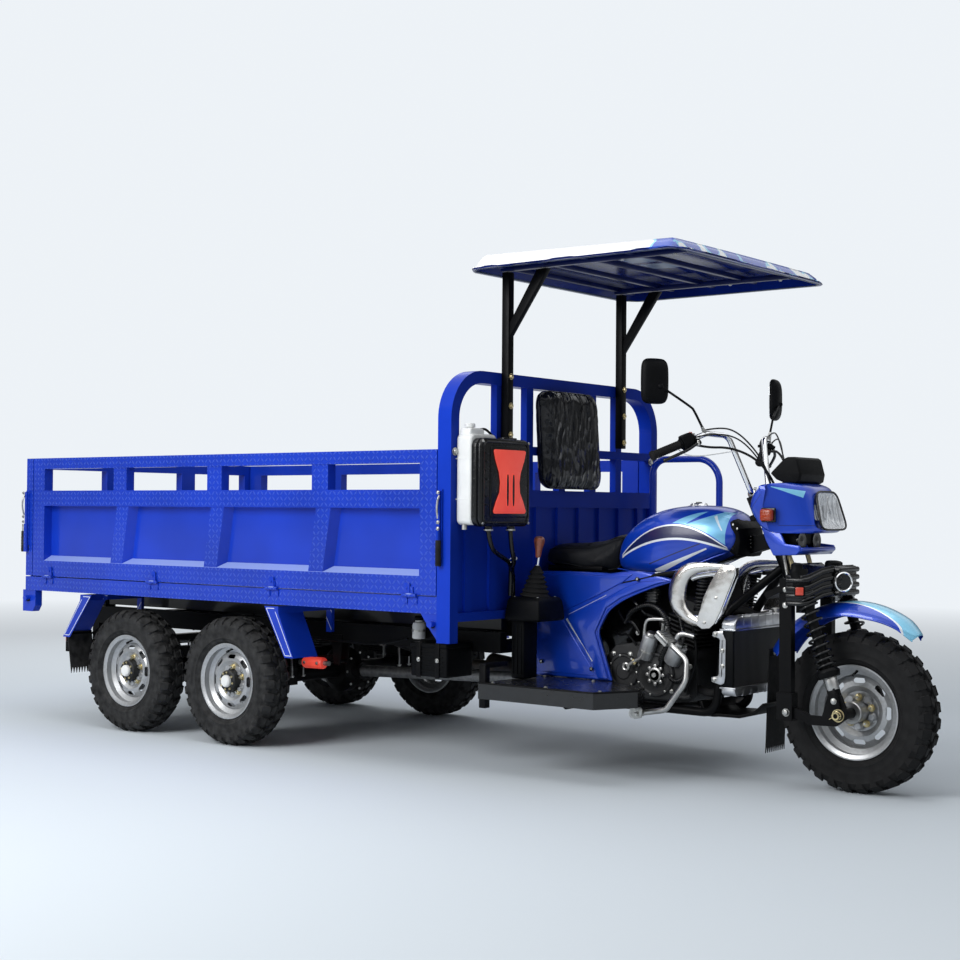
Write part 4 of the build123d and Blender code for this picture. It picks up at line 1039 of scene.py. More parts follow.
class TRIKE_OT_stage(bpy.types.Operator):
    """Floor, world, lamps and the camera"""
    bl_idname = "trike.stage"
    bl_label = "Stage"

    sky = (0.85, 0.89, 0.93, 1)
    lamps = (("key", (-2600, -5600, 3600), 3.0, 250), ("top", (-1900, -300, 7000), 6.0, 190),
             ("fill", (4200, -1500, 2600), 4.0, 12), ("rear", (-6800, 2500, 3500), 4.0, 60))

    def execute(self, context):
        scene = context.scene
        scene.view_settings.view_transform = "Standard"
        camera = bpy.data.objects.new("camera", bpy.data.cameras.new("camera"))
        camera.data.lens, camera.data.sensor_width = 59.97, 36.0
        camera.data.clip_end = 500
        camera.location = at(2616.9, -5630.6, 1046.0)
        right, up = Vector((0.78478, 0.61973, 0.00772)), Vector((0.00594, -0.01998, 0.99978))
        camera.rotation_euler = Matrix((right, up, right.cross(up))).transposed().to_euler()
        scene.collection.objects.link(camera)
        scene.camera = camera

        floor = primitive("circle", vertices=96, radius=90, fill_type="NGON")
        floor.name = "floor"
        f = Finish("floor paint", roughness=0.9, specular_ior_level=0.1)
        f.set(base_color=f.ramp(f.noise(0.25, 1.0), (0.3, (0.66, 0.72, 0.77, 1)),
                                (0.7, (0.70, 0.76, 0.81, 1))))
        far = (f.x * f.x + f.y * f.y).math("SQRT").above(7.5, 9.0)
        glow = f.node("Emission", {}, {"Color": self.sky, "Strength": 1.0}).outputs[0]
        blend = f.node("MixShader", {}, {0: far, 1: f.shader.outputs[0], 2: glow}).outputs[0]
        f.feed(f.tree.nodes["Material Output"].inputs[0], blend)
        floor.data.materials.append(f.material)
        self.world(scene)
        for name, place, size, watts in self.lamps:
            light_area(name, at(*place), at(-1900, 0, 900), size, watts)
        return {"FINISHED"}

    def world(self, scene):
        """A pale surround: lamps' light for the surfaces, a panelled bright one for reflections."""
        world = bpy.data.worlds.new("surround")
        scene.world = world
        world.use_nodes = True
        tree = world.node_tree
        tree.nodes.clear()

        def node(kind, **inputs):
            made = tree.nodes.new("ShaderNode" + kind)
            for key, value in inputs.items():
                socket = made.inputs[int(key[1:])]
                if isinstance(value, bpy.types.NodeSocket):
                    tree.links.new(value, socket)
                else:
                    socket.default_value = value
            return made

        rays = node("LightPath").outputs
        seen = node("Math", _0=rays["Is Camera Ray"], _1=rays["Is Transmission Ray"])
        direction = node("TexCoord").outputs["Generated"]
        split = node("SeparateXYZ", _0=direction).outputs
        ramp = node("ValToRGB", _0=split[2])
        stops = ((0.0, 0.16), (0.12, 0.30), (0.22, 0.12), (0.36, 0.16), (0.44, 1.2), (1.0, 1.2))
        for number, (position, level) in enumerate(stops):
            elements = ramp.color_ramp.elements
            stop = elements[number] if number < len(elements) else elements.new(position)
            stop.position, stop.color = position, (level * 0.96, level * 0.98, level, 1)
        lit = node("Background", _0=(0.93, 0.96, 1.0, 1), _1=0.30)
        shown = node("Background", _0=self.sky, _1=1.0)
        mirrored = node("Background", _0=ramp.outputs[0], _1=1.0)
        first = node("MixShader", _0=rays["Is Glossy Ray"], _1=lit.outputs[0], _2=mirrored.outputs[0])
        last = node("MixShader", _0=seen.outputs[0], _1=first.outputs[0], _2=shown.outputs[0])
        tree.links.new(last.outputs[0], node("OutputWorld").inputs[0])


class TRIKE_OT_frame(bpy.types.Operator):
    """Finishes of the CAD pieces that stay as they are"""
    bl_idname = "trike.frame"
    bl_label = "Frame finishes"

    coats = {
        "bed tread": ("bed_floor",),
        "bed enamel": ("guard_rail", "bed_fittings"),
        "guard enamel": ("rear_mudguards",),
        "gate paint": ("side_gate_right", "side_gate_left", "tailgate"),
        "headboard paint": ("headboard",),
        "frame black": ("chassis_frame", "front_cradle", "rear_axle_1", "rear_axle_2", "leaf_springs",
                        "canopy_frame", "fork", "mirrors"),
        "galvanised": ("propshafts",),
        "black plastic": ("fork_cover", "instrument_pod", "tank_nose", "air_cleaner",
                          "battery_box", "gear_console", "hand_controls"),
        "flap rubber": ("rear_mudflaps", "front_mudflap"),
        "tyre rubber": tuple(node for node in NODES if node.startswith("tyre_")),
        "wheel silver": tuple(node for node in NODES if node.startswith("rim_")),
        "white plastic": ("water_tank", "brake_fluid_bottle"),
        "seat vinyl": ("seat",),
        "backrest vinyl": ("backrest",),
        "footboard tread": ("footboards",),
        "dark casting": ("engine", "dump_ram_barrel", "radiator"),
        "chrome": ("handlebar", "side_guards", "dump_ram_rod"),
        "brushed steel": ("brake_pedal",),
        "exhaust steel": ("exhaust",),
        "tank blue": ("fuel_tank",),
        "cover blue": ("side_covers",),
        "fender blue": ("front_fender",),
        "nacelle blue": ("headlight_shell",),
        "roof skin": ("canopy_roof",),
        "clear lens": ("headlight_lens",),
        "amber lens": ("indicators",),
        "red lens": ("tail_lamps",),
        "zinc": ("fork_springs",),
    }

    def execute(self, context):
        for name, nodes in self.coats.items():
            for node in nodes:
                painted(NODES[node], name)
        return {"FINISHED"}


# ------------------------------------------------------------------ wheels
WHEELS = {node[5:]: "wheel_" + node[5:] for node in NODES if node.startswith("tyre_")}


def turn(angle, centre):
    """A turn about a wheel's own axle."""
    return (Matrix.Translation(centre) @ Matrix.Rotation(angle, 4, "Y")
            @ Matrix.Translation(-Vector(centre)))


def ring_of(obj, centre, count, first=0.0):
    """Copies of an object spaced evenly round an axle, with the object itself."""
    return [obj, *copied(obj, *(turn(first + math.tau * number / count, centre)
                                for number in range(1, count)))]


class TRIKE_OT_tyres(bpy.types.Operator):
    """Five tyres with block tread: one pitch is modelled and copied round each carcass"""
    bl_idname = "trike.tyres"
    bl_label = "Tyres"

    def carcass(self, c, r, w, lip, bead):
        """The tyre under its blocks: beads, ringed sidewalls and the groove floor of the tread."""
        floor = r - sizes().lug_height
        wall = [(lip - 0.012, bead - 0.005), (lip + 0.001, bead - 0.001), (lip + 0.006, bead + 0.006),
                (lip + 0.012, bead + 0.012), (lip + 0.014, bead + 0.012), (lip + 0.020, bead + 0.017),
                (lip + 0.023, bead + 0.021), (lip + 0.026, bead + 0.020), (lip + 0.045, w * 0.985),
                (lip + 0.048, w), (lip + 0.052, w * 0.995), (floor - 0.030, w * 0.975),
                (floor - 0.027, w * 0.99), (floor - 0.018, w * 0.93), (floor - 0.006, w * 0.83),
                (floor, w * 0.68), (floor + 0.001, w * 0.30)]
        profile = wall + [(radius, -y) for radius, y in reversed(wall)]
        points = [c + Vector((0, y, radius)) for radius, y in profile + wall[:1]]
        return turned(points, c, (0, 1, 0), 88)

    def blocks(self, place, w, corners, low, high, slope=0.90):
        """A pair of tread blocks, the second half a pitch on, between two radii; their sides lean in."""
        made = []
        middle_a, middle_y = (sum(each) / len(corners) for each in zip(*corners))
        for side, half_turn in ((1, 0), (-1, 0.5)):
            rings = []
            for radius, share in ((low, 1.0), (high - 0.0015, slope), (high, slope - 0.06)):
                for a, y in corners:
                    y = (y - middle_y) * share + middle_y
                    sag = max(0.0, abs(y) / w - 0.62) * 0.055 if radius > low else 0.0
                    rings.append(place((a - middle_a) * share + middle_a + half_turn, side * y, radius - sag))
            made.append(self.solid(rings, len(corners)))
        return made

    def pitch(self, c, r, w, count):
        """One pitch of tread: an interlocking middle pair, shoulder blocks and ribs down the walls."""
        def place(a, y, radius):
            """A point on the tyre: its share of a pitch round it, across it and from its axle."""
            angle = a * math.tau / count
            return c + Vector((radius * math.sin(angle), y, radius * math.cos(angle)))

        low, high = r - sizes().lug_height - 0.004, r
        middle_block = [(-0.44, 0.004), (0.20, 0.004), (0.44, 0.18 * w), (0.20, 0.47 * w),
                        (-0.34, 0.47 * w), (-0.16, 0.20 * w)]
        shoulder = [(-0.40, 0.55 * w), (-0.10, 0.50 * w), (0.26, 0.55 * w), (0.30, 0.86 * w),
                    (0.24, 1.00 * w), (-0.36, 1.00 * w), (-0.44, 0.86 * w)]
        parts = (self.blocks(place, w, middle_block, low, high)
                 + self.blocks(place, w, shoulder, low - 0.010, high))
        for side, base in ((1, 0), (-1, 0.5)):
            rib = [place(a * thick + base, side * y * w, radius)
                   for radius, thick, outer in ((r - 0.020, 1.0, 0.998), (r - 0.046, 0.55, 0.988))
                   for a, y in ((-0.34, 0.90), (-0.34, outer), (0.22, outer), (0.22, 0.90))]
            parts.append(self.solid(rib, 4))
        return parts

    def solid(self, rings, count):
        """A closed block from rings of as many points, drawn by extruding the first ring upward."""
        obj = outline(rings[:count])
        for start in range(count, len(rings), count):
            before, ring = rings[start - count:start], rings[start:start + count]
            shift = (sum(ring, Vector()) - sum(before, Vector())) / count
            only(obj)
            bpy.ops.object.mode_set(mode="EDIT")
            bpy.ops.mesh.extrude_region_move(TRANSFORM_OT_translate={"value": shift})
            bpy.ops.object.mode_set(mode="OBJECT")
            for vertex in [vertex for vertex in obj.data.vertices if vertex.select]:
                vertex.co = min(ring, key=lambda p, v=vertex.co.copy(): (p - v).length)
        return edit(obj, OUTWARD)

    def execute(self, context):
        for row in ("front", "rear"):
            names = [name for name in WHEELS if name.startswith(row)]
            low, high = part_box("tyre_" + names[0])
            rim_low, rim_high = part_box("rim_" + names[0])
            c, r, w = (low + high) / 2, (high.z - low.z) / 2, (high.y - low.y) / 2
            lip = (rim_high.z - rim_low.z) / 2
            count = sizes().lug_pitches
            one = join(self.pitch(c, r, w, count))
            tyre = join([self.carcass(c, r, w, lip, 0.6 * w + 0.010), *ring_of(one, c, count)])
            painted(tyre, "tyre rubber")
            twins = copied(tyre, *(Matrix.Translation(middle("tyre_" + name) - c) for name in names[1:]))
            for name, obj in zip(names, [tyre, *twins]):
                hand_over([obj], "lugged_tyre_" + name, WHEELS[name], ["tyre_" + name], 28)
        return {"FINISHED"}


class TRIKE_OT_wheel_fittings(bpy.types.Operator):
    """Hub caps, wheel nuts, valves and the black rear hubs"""
    bl_idname = "trike.wheel_fittings"
    bl_label = "Wheel fittings"

    def nuts(self, c, out, y, radius):
        """Five wheel nuts on their seats with their studs, and the pressed bosses between them."""
        def stand(name, radius, low, high, *size, **settings):
            """A round part on the wheel's disc, between two heights over it."""
            first = c + Vector((0, out * y, radius))
            return painted(rod(first + Vector((0, out * low, 0)), first + Vector((0, out * high, 0)),
                               *size, **settings), name)

        nut = join([stand("gold zinc", radius, 0, 0.011, 0.0114, sides=6, edge=0.001),
                    stand("gold zinc", radius, 0, 0.003, 0.01482, 0.01254),
                    stand("zinc", radius, 0, 0.018, 0.0052, 0.0045, sides=12)])
        boss = stand("wheel silver", radius + 0.002, -0.004, 0.006, 0.017, 0.011)
        boss.data.transform(turn(math.tau / 10, c))
        return ring_of(nut, c, 5) + ring_of(boss, c, 5)

    def valve(self, c, out, y, lip):
        place = c + Vector((0.0, out * y, lip - 0.026))
        stem = rod(place, place + Vector((0, out * 0.030, -0.010)), 0.0045, sides=12)
        cap = rod(place + Vector((0, out * 0.026, -0.009)), place + Vector((0, out * 0.038, -0.013)), 0.0055,
                  sides=12)
        return [painted(stem, "flap rubber"), painted(cap, "gloss plastic")]

    def execute(self, context):
        bearing = ((42.5, -20), (42.5, 1), (39, 4), (24, 4), (24, -1), (24, -20), (42.5, -20))
        drum = ((0, 14), (50, 14), (50, 22), (47.5, 28), (47.5, 52), (43, 56), (26, 56), (0, 56))
        dust_cap = ((0, 50), (27.5, 50), (26.5, 66), (22, 72), (12, 74), (0, 74))

        def outward(profile, side, lift=0):
            """A profile whose heights are taken outward on one side of the wheel."""
            return [(radius, side * (height + lift)) for radius, height in profile]

        for name, body in WHEELS.items():
            c = middle("tyre_" + name)
            low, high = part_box("rim_" + name)
            out = 1 if c.y > 0 and name != "front" else -1
            if name == "front":
                parts = [lathe("brushed steel", c, "Y", outward(bearing, side, reach / MM), 40)
                         for side, reach in ((-1, c.y - low.y), (1, high.y - c.y))]
                parts += self.nuts(c, out, 0.008, 0.054)
            else:
                around = bolts([c + Vector((0, out * 0.056, 0.038))], (0, out, 0), 0.009, "gold zinc", False)
                parts = [lathe("dark casting", c, "Y", outward(drum, out), 40),
                         lathe("white plastic", c, "Y", outward(dust_cap, out), 32),
                         *ring_of(around[0], c, 8, 0.2), *self.nuts(c, out, 0.018, 0.060)]
            parts += self.valve(c, out, 0.020, (high.z - low.z) / 2)
            hand_over(parts, "hub_fittings_" + name, body)
        return {"FINISHED"}


# ------------------------------------------------------------------ steering and front end
FORK_Y = 170


def along_shock(distance):
    """A point on the right damper's axis, a distance in millimetres above its foot."""
    foot, head = at(-11, -FORK_Y, 352), at(-175, -FORK_Y, 838)
    return foot + (head - foot).normalized() * distance * MM


class TRIKE_OT_fork_springs(bpy.types.Operator):
    """Coil springs, perches and clevises of the fork"""
    bl_idname = "trike.fork_springs"
    bl_label = "Fork springs"

    def execute(self, context):
        low, high = along_shock(124), along_shock(440)
        spring = painted(coil(low, high, 0.0355, sizes().spring_wire, sizes().spring_turns, 8),
                         "gloss plastic")
        hand_over(both_sides(spring), "coil_springs", "steering", ["fork_springs"], 60)
        parts = [painted(rod(along_shock(start), along_shock(end), r0, r1, 32, 0.0015), name)
                 for name, start, end, r0, r1 in (
                     ("frame black", 92, 112, 0.040, 0.046), ("frame black", 112, 124, 0.046, 0.038),
                     ("frame black", 438, 452, 0.040, 0.044), ("brushed steel", 44, 94, 0.0250, 0.0260))]
        foot = along_shock(4)
        upright = (Matrix.Translation(foot) @ (high - low).to_track_quat("Z", "Y").to_matrix().to_4x4()
                   @ Matrix.Rotation(math.radians(90), 4, "Z"))
        cheeks = [block((-0.017, y, -0.030), (0.017, y + 0.007, 0.046), 0.004) for y in (-0.0235, 0.0165)]
        parts += placed(upright, *((cheek, "frame black") for cheek in cheeks))
        parts += bolts([foot + Vector((0, -0.024, 0))], RIGHT, 0.015)
        hand_over(both_sides(*parts), "spring_perches", "steering")
        return {"FINISHED"}


class TRIKE_OT_fork_details(bpy.types.Operator):
    """Axle nuts, pivot bolts and stanchion caps on the fork"""
    bl_idname = "trike.fork_details"
    bl_label = "Fork details"

    def execute(self, context):
        y = -FORK_Y - 11
        axle = at(0, y, 303)
        pin = tube([axle + Vector(p) for p in ((0.022, -0.021, 0.002), (-0.016, -0.021, -0.004),
                                               (-0.026, -0.021, -0.014))], 0.0014, 6)
        crown = ((8.5, -14), (15, -14), (14.5, -26), (9.5, -26), (8.5, -14))
        cap = ((0, 806), (27, 806), (27, 830), (22, 838), (22, 854), (14, 860), (0, 860))
        parts = [bar("gold zinc", (0, y, 303), (0, y - 16, 303), 0.0185, sides=6, edge=0.0012),
                 lathe("gold zinc", axle, "Y", crown, 12), painted(pin, "gold zinc"),
                 bar("gold zinc", (0, y, 303), (0, y - 3, 303), 0.024),
                 *bolts([(-206, y - 13, 299)], RIGHT, 0.019), *bolts([(-206, y - 5, 342)], RIGHT, 0.012),
                 *bolts([(-215, y - 5, z) for z in (700, 760)], RIGHT, 0.014),
                 lathe("black plastic", at(-176, -FORK_Y, 0), "Z", cap, 32),
                 bar("gold zinc", (-215, -78, 745), (-262, -78, 905), 0.0095),
                 bar("zinc", (-238, -104, 755), (-268, -104, 900), 0.006)]
        hand_over(both_sides(*parts), "fork_fittings", "steering")
        return {"FINISHED"}


class TRIKE_OT_fork_cover(bpy.types.Operator):
    """Ribbed cover of the lower yoke with a plain round badge and side reflectors"""
    bl_idname = "trike.fork_cover"
    bl_label = "Fork cover"

    def layer(self, z, grow, depth, *edge):
        """One layer of the cover: its outline drops towards its ends."""
        half = [(-66 + grow, 96), (-92 + grow, 122), (-116 + grow, 196 + grow), (-140, 206 + grow),
                (-206, 206 + grow), (-206, 96)]
        other = [(x, -y) for x, y in reversed(half)]
        points = [at(x, y, z - 0.36 * max(0, abs(y) - 96)) for x, y in other[-1:] + half + other[:-1]]
        return painted(plate(points, (0, 0, depth), *edge), "gloss plastic")

    def execute(self, context):
        parts = [self.layer(740, -4, 0.112, 0.004),
                 slab("gloss plastic", (-90, -78, 742), (-48, 78, 848), 0.006)]
        for z in range(739, 827, 29):
            parts += [self.layer(z, 4, 0.018, 0.007, 4),
                      slab("gloss plastic", (-90, -84, z - 1), (-38, 84, z + 19), 0.008, 4)]
        lean = Matrix.Translation(at(-36, -66, 790)) @ Matrix.Rotation(math.radians(-34), 4, "Z")
        for name, profile in (
                ("dark casting", ((0, -22), (38, -22), (38, 1), (34, 3), (31, 0), (0, 0))),
                ("chrome", ((31, -2), (39, -2), (38, 4), (34, 6), (31, 3), (31, -2)))):
            parts += placed(lean, (lathe(name, (0, 0, 0), "X", profile, 40), name))
        knob = ((0, 845), (30, 845), (30, 858), (24, 866), (15, 868), (0, 868))
        parts.append(lathe("black plastic", at(-112, 0, 0), "Z", knob, 32))
        base = block((-0.019, -0.004, -0.019), (0.019, 0.004, 0.019), 0.004)
        lamp = block((-0.015, -0.008, -0.015), (0.015, 0, 0.015), 0.003)
        turned_out = Matrix.Translation(at(-142, -213, 756)) @ Matrix.Rotation(math.radians(20), 4, "Z")
        parts += both_sides(*placed(turned_out, (base, "black plastic"), (lamp, "red lens")))
        hand_over(parts, "ribbed_fork_cover", "steering", ["fork_cover"])
        return {"FINISHED"}


class TRIKE_OT_front_fender(bpy.types.Operator):
    """Crowned front fender with rolled edges and the toothed rubber flap behind it"""
    bl_idname = "trike.front_fender"
    bl_label = "Front fender"

    def shell(self, u, v):
        """A point on the fender: u runs back from its tip round the tyre, v across."""
        angle = math.radians(46 + 104 * u)
        taper = 1 - 0.30 * max(0.0, 1 - u / 0.34) ** 1.6 - 0.22 * max(0.0, 1 - u / 0.09) ** 2
        y = (v - 0.5) * 2
        drop = (0.020 + 0.024 * min(1.0, u / 0.30)) * abs(y) ** 2.6 + (0.008 if abs(y) > 0.97 else 0)
        radius = 0.385 - drop - 0.012 * max(0.0, 1 - u / 0.10)
        arm = Vector((radius * math.cos(angle), 0.082 * taper * y, radius * math.sin(angle)))
        return at(-15, 0, 332) + arm

    def execute(self, context):
        fender = skin(40, 20, self.shell, closed=False)
        modify(fender, "SOLIDIFY", thickness=0.0032, offset=0)
        edit(fender, OUTWARD)
        smoothed(painted(fender, "fender blue"), 1)
        bead = painted(tube([self.shell(u / 20, 0.0) for u in range(21)], 0.0032, 8), "fender blue")
        hand_over([fender, *both_sides(bead)], "crowned_front_fender", "steering",
                  ["front_fender"], 45)
        parts = toothed(at(-338, 0, 522), at(-352, 0, 118), 0.076, 9)
        parts += bolts([(-334, y, 504) for y in (-45, 0, 45)], (1, 0, 0.1), 0.010)
        hand_over(parts, "toothed_front_flap", "steering", ["front_mudflap"])
        return {"FINISHED"}


class TRIKE_OT_nacelle(bpy.types.Operator):
    """Headlight housing with its chin, bezel, reflectors, lens and turn lamps"""
    bl_idname = "trike.nacelle"
    bl_label = "Headlight housing"

    profile = [(-336, 986), (-366, 1032), (-390, 1074), (-374, 1112), (-356, 1148), (-300, 1158),
               (-240, 1162), (-196, 1156), (-160, 1140), (-150, 1128), (-131, 1052), (-112, 984),
               (-124, 972), (-180, 968), (-250, 970), (-300, 972)]

    def housing(self):
        rings = []
        for y, shrink in ((-170, 0.80), (-169, 0.90), (-162, 0.965), (-140, 1), (-108, 1), (-60, 1), (0, 1),
                          (60, 1), (108, 1), (140, 1), (162, 0.965), (169, 0.90), (170, 0.80)):
            front = -104 - max(0.0, abs(y) - 104) * 3.1
            ring = []
            for x, z in self.profile:
                x = min(x, front - (z - 984) * 0.27) if x > -300 else x
                z += 5 * (1 - (y / 170) ** 2) * (1 if z > 1120 else 0)
                ring.append(at(-262 + (x + 262) * shrink, y, 1066 + (z - 1066) * shrink))
            rings.append(ring)
        shell = rounded(lofted(rings, 1), 0.003, 2, 28)
        recess = lofted([[self.face(n / 40, 1.0, lambda r: depth, 0.985) for n in range(40)]
                         for depth in (-0.042, 0.030)], 0)
        modify(shell, "BOOLEAN", object=edit(recess, OUTWARD), operation="DIFFERENCE")
        bpy.data.objects.remove(recess)
        cheek = [(-338, 994), (-318, 940), (-286, 884), (-188, 888), (-172, 906), (-176, 924), (-236, 930),
                 (-262, 984)]
        chin = [(-286, 884), (-190, 888), (-166, 905), (-168, 918), (-205, 914), (-280, 908)]
        horn = ((0, 0), (30, 0), (36, 22), (34, 28), (20, 26), (0, 30))
        parts = [painted(shell, "nacelle blue"), side_plate("nacelle blue", -142, chin, 0.284, 0.005, 3),
                 slab("black plastic", (-300, -100, 925), (-214, 100, 975), 0.006),
                 *both_sides(side_plate("nacelle blue", -150, cheek, 0.012, 0.004, 3),
                             lathe("gloss plastic", at(-236, -62, 940), "X", horn, 32))]
        hand_over(parts, "headlight_housing", "steering", ["headlight_shell"], 40)

    def face(self, u, v, depth_at, scale):
        """A point on a rounded lamp face: u goes round it, v from its middle to its rim."""
        y, t = (math.copysign(abs(part(math.tau * u)) ** 0.38, part(math.tau * u)) * reach * scale * v
                for part, reach in ((math.cos, 0.097), (math.sin, 0.073)))
        y *= 1 - 0.12 * t / 0.073
        up, out = Vector((-0.255, 0, 0.967)), Vector((0.967, 0, 0.255))
        return at(-126, 0, 1056) + Vector((0, y, 0)) + up * t + out * depth_at(v)

    def lamp(self):
        bowl = skin(40, 8, lambda u, v: self.face(u, v, lambda r: -0.034 * (1 - r * r), 0.97), closed=False)
        rim = tube([self.face(n / 40, 1.03, lambda r: 0.004, 1.0) for n in range(40)], 0.0042, 8, cyclic=True)
        parts = [painted(bowl, "reflector"), painted(rim, "gloss plastic"),
                 slab("chrome", (-148, -4, 994), (-132, 4, 1112), 0.002)]
        cup = skin(28, 5, lambda u, v: self.face(u, v * 0.42, lambda r: 0.006 * r - 0.028, 1.0), closed=False)
        for y in (-46, 46):
            parts += [painted(one, "reflector") for one in copied(cup, Matrix.Translation((0, y * MM, 0)))]
            parts += [painted(ball(at(-146, y, 1054), 0.011, 10), "clear lens"),
                      bar("chrome", (-166, y, 1048), (-146, y, 1054), 0.009)]
        bpy.data.objects.remove(cup)
        hand_over(parts, "headlight_reflectors", "steering", smooth=50)
        cover = skin(48, 8, lambda u, v: self.face(u, v, lambda r: 0.012 - 0.008 * r * r, 1.02), closed=False)
        modify(cover, "SOLIDIFY", thickness=0.0022, offset=0)
        hand_over([painted(edit(cover, OUTWARD), "clear lens")], "headlight_cover", "steering",
                  ["headlight_lens"], 50)

    def execute(self, context):
        self.housing()
        self.lamp()
        parts = [slab("gloss plastic", (-324, -177, 1011), (-264, -166, 1067), 0.004, 3),
                 slab("amber lens", (-319, -201, 1016), (-269, -175, 1062), 0.009, 4),
                 *(slab("amber lens", (-316, -202.4, z - 1.2), (-272, -200, z + 1.2), 0.001)
                   for z in (1028, 1039, 1050))]
        hand_over(both_sides(*parts), "turn_lamps", "steering", ["indicators"])
        return {"FINISHED"}


class TRIKE_OT_instruments(bpy.types.Operator):
    """Instrument pod with two dials facing the rider"""
    bl_idname = "trike.instruments"
    bl_label = "Instruments"

    profile = [(-262, 1161), (-300, 1176), (-324, 1199), (-318, 1207), (-266, 1256), (-252, 1262),
               (-222, 1262), (-210, 1254), (-194, 1196), (-200, 1168), (-214, 1161)]

    def execute(self, context):
        rings = [[at(-260 + (x + 260) * shrink, y, 1210 + (z - 1210) * shrink) for x, z in self.profile]
                 for y, shrink in ((-107, 0.88), (-105, 0.95), (-98, 1), (0, 1), (98, 1), (105, 0.95),
                                   (107, 0.88))]
        parts = [painted(rounded(lofted(rings, 0), 0.003, 2, 25), "black plastic")]
        bezel = ((26, 0), (33, 0), (33, -5), (29, -7), (26, -4), (26, 0))
        for side in (-1, 1):
            needle = block((-0.0045, -0.0012, -0.004), (-0.0035, 0.0012, 0.021))
            needle.data.transform(Matrix.Rotation(math.radians(side * 50), 4, "X"))
            mark = block((-0.0042, -0.0009, 0.0195), (-0.0032, 0.0009, 0.0245))
            marks = [mark, *copied(mark, *(Matrix.Rotation(math.radians(a), 4, "X")
                                           for a in range(-125, 126, 25)))]
            lamp = block((-0.003, -0.004 - side * 0.048, -0.028), (0.0, 0.004 - side * 0.048, -0.022))
            facing = Matrix.Translation(at(-292, side * 48, 1231.5)) @ Matrix.Rotation(0.815, 4, "Y")
            parts += placed(facing, (lathe("chrome", (0, 0, 0), "X", bezel, 40), "chrome"),
                            (rod((0, 0, 0), (-0.003, 0, 0), 0.027), "gloss plastic"), (needle, "amber lens"),
                            *((one, "white plastic") for one in marks), (lamp, "red lens"))
        hand_over(parts, "instrument_cluster", "steering", ["instrument_pod"])
        return {"FINISHED"}


# ------------------------------------------------------------------ tank, covers and cushions
class TRIKE_OT_tank(bpy.types.Operator):
    """Fuel tank with its knee hollows and filler cap, and the moulding ahead of it"""
    bl_idname = "trike.tank"
    bl_label = "Fuel tank"

    stations = (  # x, underside, widest height, shoulder, top, half-width, width at the foot
        (-1024, 808, 850, 885, 905, 92, 60), (-1004, 802, 856, 925, 950, 122, 84),
        (-950, 798, 868, 964, 1000, 148, 116), (-880, 794, 880, 998, 1044, 163, 132),
        (-800, 792, 892, 1014, 1068, 170, 140), (-720, 804, 905, 1020, 1076, 170, 138),
        (-640, 830, 915, 1020, 1077, 163, 128), (-570, 860, 922, 1012, 1072, 150, 114),
        (-515, 881, 930, 998, 1054, 134, 98), (-484, 896, 938, 982, 1028, 116, 84),
        (-468, 908, 942, 972, 996, 98, 70))

    def execute(self, context):
        rings = []
        for x, low, widest, shoulder, top, half, foot in self.stations:
            hollow = 12 * math.exp(-((x + 905) / 70) ** 2)
            ring = [(0, low), (foot * 0.6, low), (foot, low + 4), (half - 10, low + (widest - low) * 0.45),
                    (half - hollow * 0.4, widest), (half - 2 - hollow, (widest + shoulder) / 2 + 2),
                    (half - 16, shoulder), (half * 0.66, shoulder + (top - shoulder) * 0.72),
                    (half * 0.34, top - 3), (0, top)]
            rings.append(sided([at(x, y, z) for y, z in ring]))
        seam = ((-1012, 116, 814), (-940, 136, 806), (-860, 148, 802), (-790, 152, 802), (-720, 146, 814),
                (-640, 134, 840), (-570, 120, 868), (-520, 102, 888))
        cap = at(-700, 0, 1070)
        slot = block(cap + Vector((-0.007, -0.0012, 0.0186)), cap + Vector((0.007, 0.0012, 0.0196)))
        rim = ((0, -4), (44, -4), (44, 3), (36, 5), (33, 12), (29, 15), (0, 15))
        parts = [painted(lofted(rings), "tank blue"), *both_sides(pipe("tank blue", seam, 0.0032)),
                 lathe("chrome", cap, "Z", rim, 40), painted(slot, "zinc"),
                 lathe("gloss plastic", cap, "Z", ((0, 14), (13, 14), (12, 19), (0, 19)), 28)]
        hand_over(parts, "petrol_tank", "chassis", ["fuel_tank"], 40)

        rings = []
        for y, x_back, x_front, low, high in (
                (-104, -500, -478, 900, 962), (-98, -508, -458, 884, 984), (-60, -510, -444, 876, 990),
                (0, -510, -440, 874, 992), (60, -510, -444, 876, 990), (98, -508, -458, 884, 984),
                (104, -500, -478, 900, 962)):
            slant = (high - low) * 0.24
            rings.append([at(x_back, y, low + 14), at(x_back + 6, y, high + 26),
                          at(x_back + 20, y, high + 34), at(x_front - slant * 0.3, y, high - 4),
                          at(x_front, y, (low + high) / 2), at(x_front - slant * 0.4, y, low),
                          at(x_back + 20, y, low)])
        parts = [painted(rounded(lofted(rings, 0), 0.004, 2, 25), "black plastic"),
                 *(slab("gloss plastic", (-446, -44, z - 3), (-438, 44, z + 3), 0.002)
                   for z in (912, 926, 940, 954)),
                 *both_sides(*bolts([(x, -100, z) for x, z in ((-486, 1000), (-468, 984), (-486, 908))],
                                    RIGHT, 0.008, washer=False))]
        hand_over(parts, "tank_moulding", "chassis", ["tank_nose"])
        return {"FINISHED"}


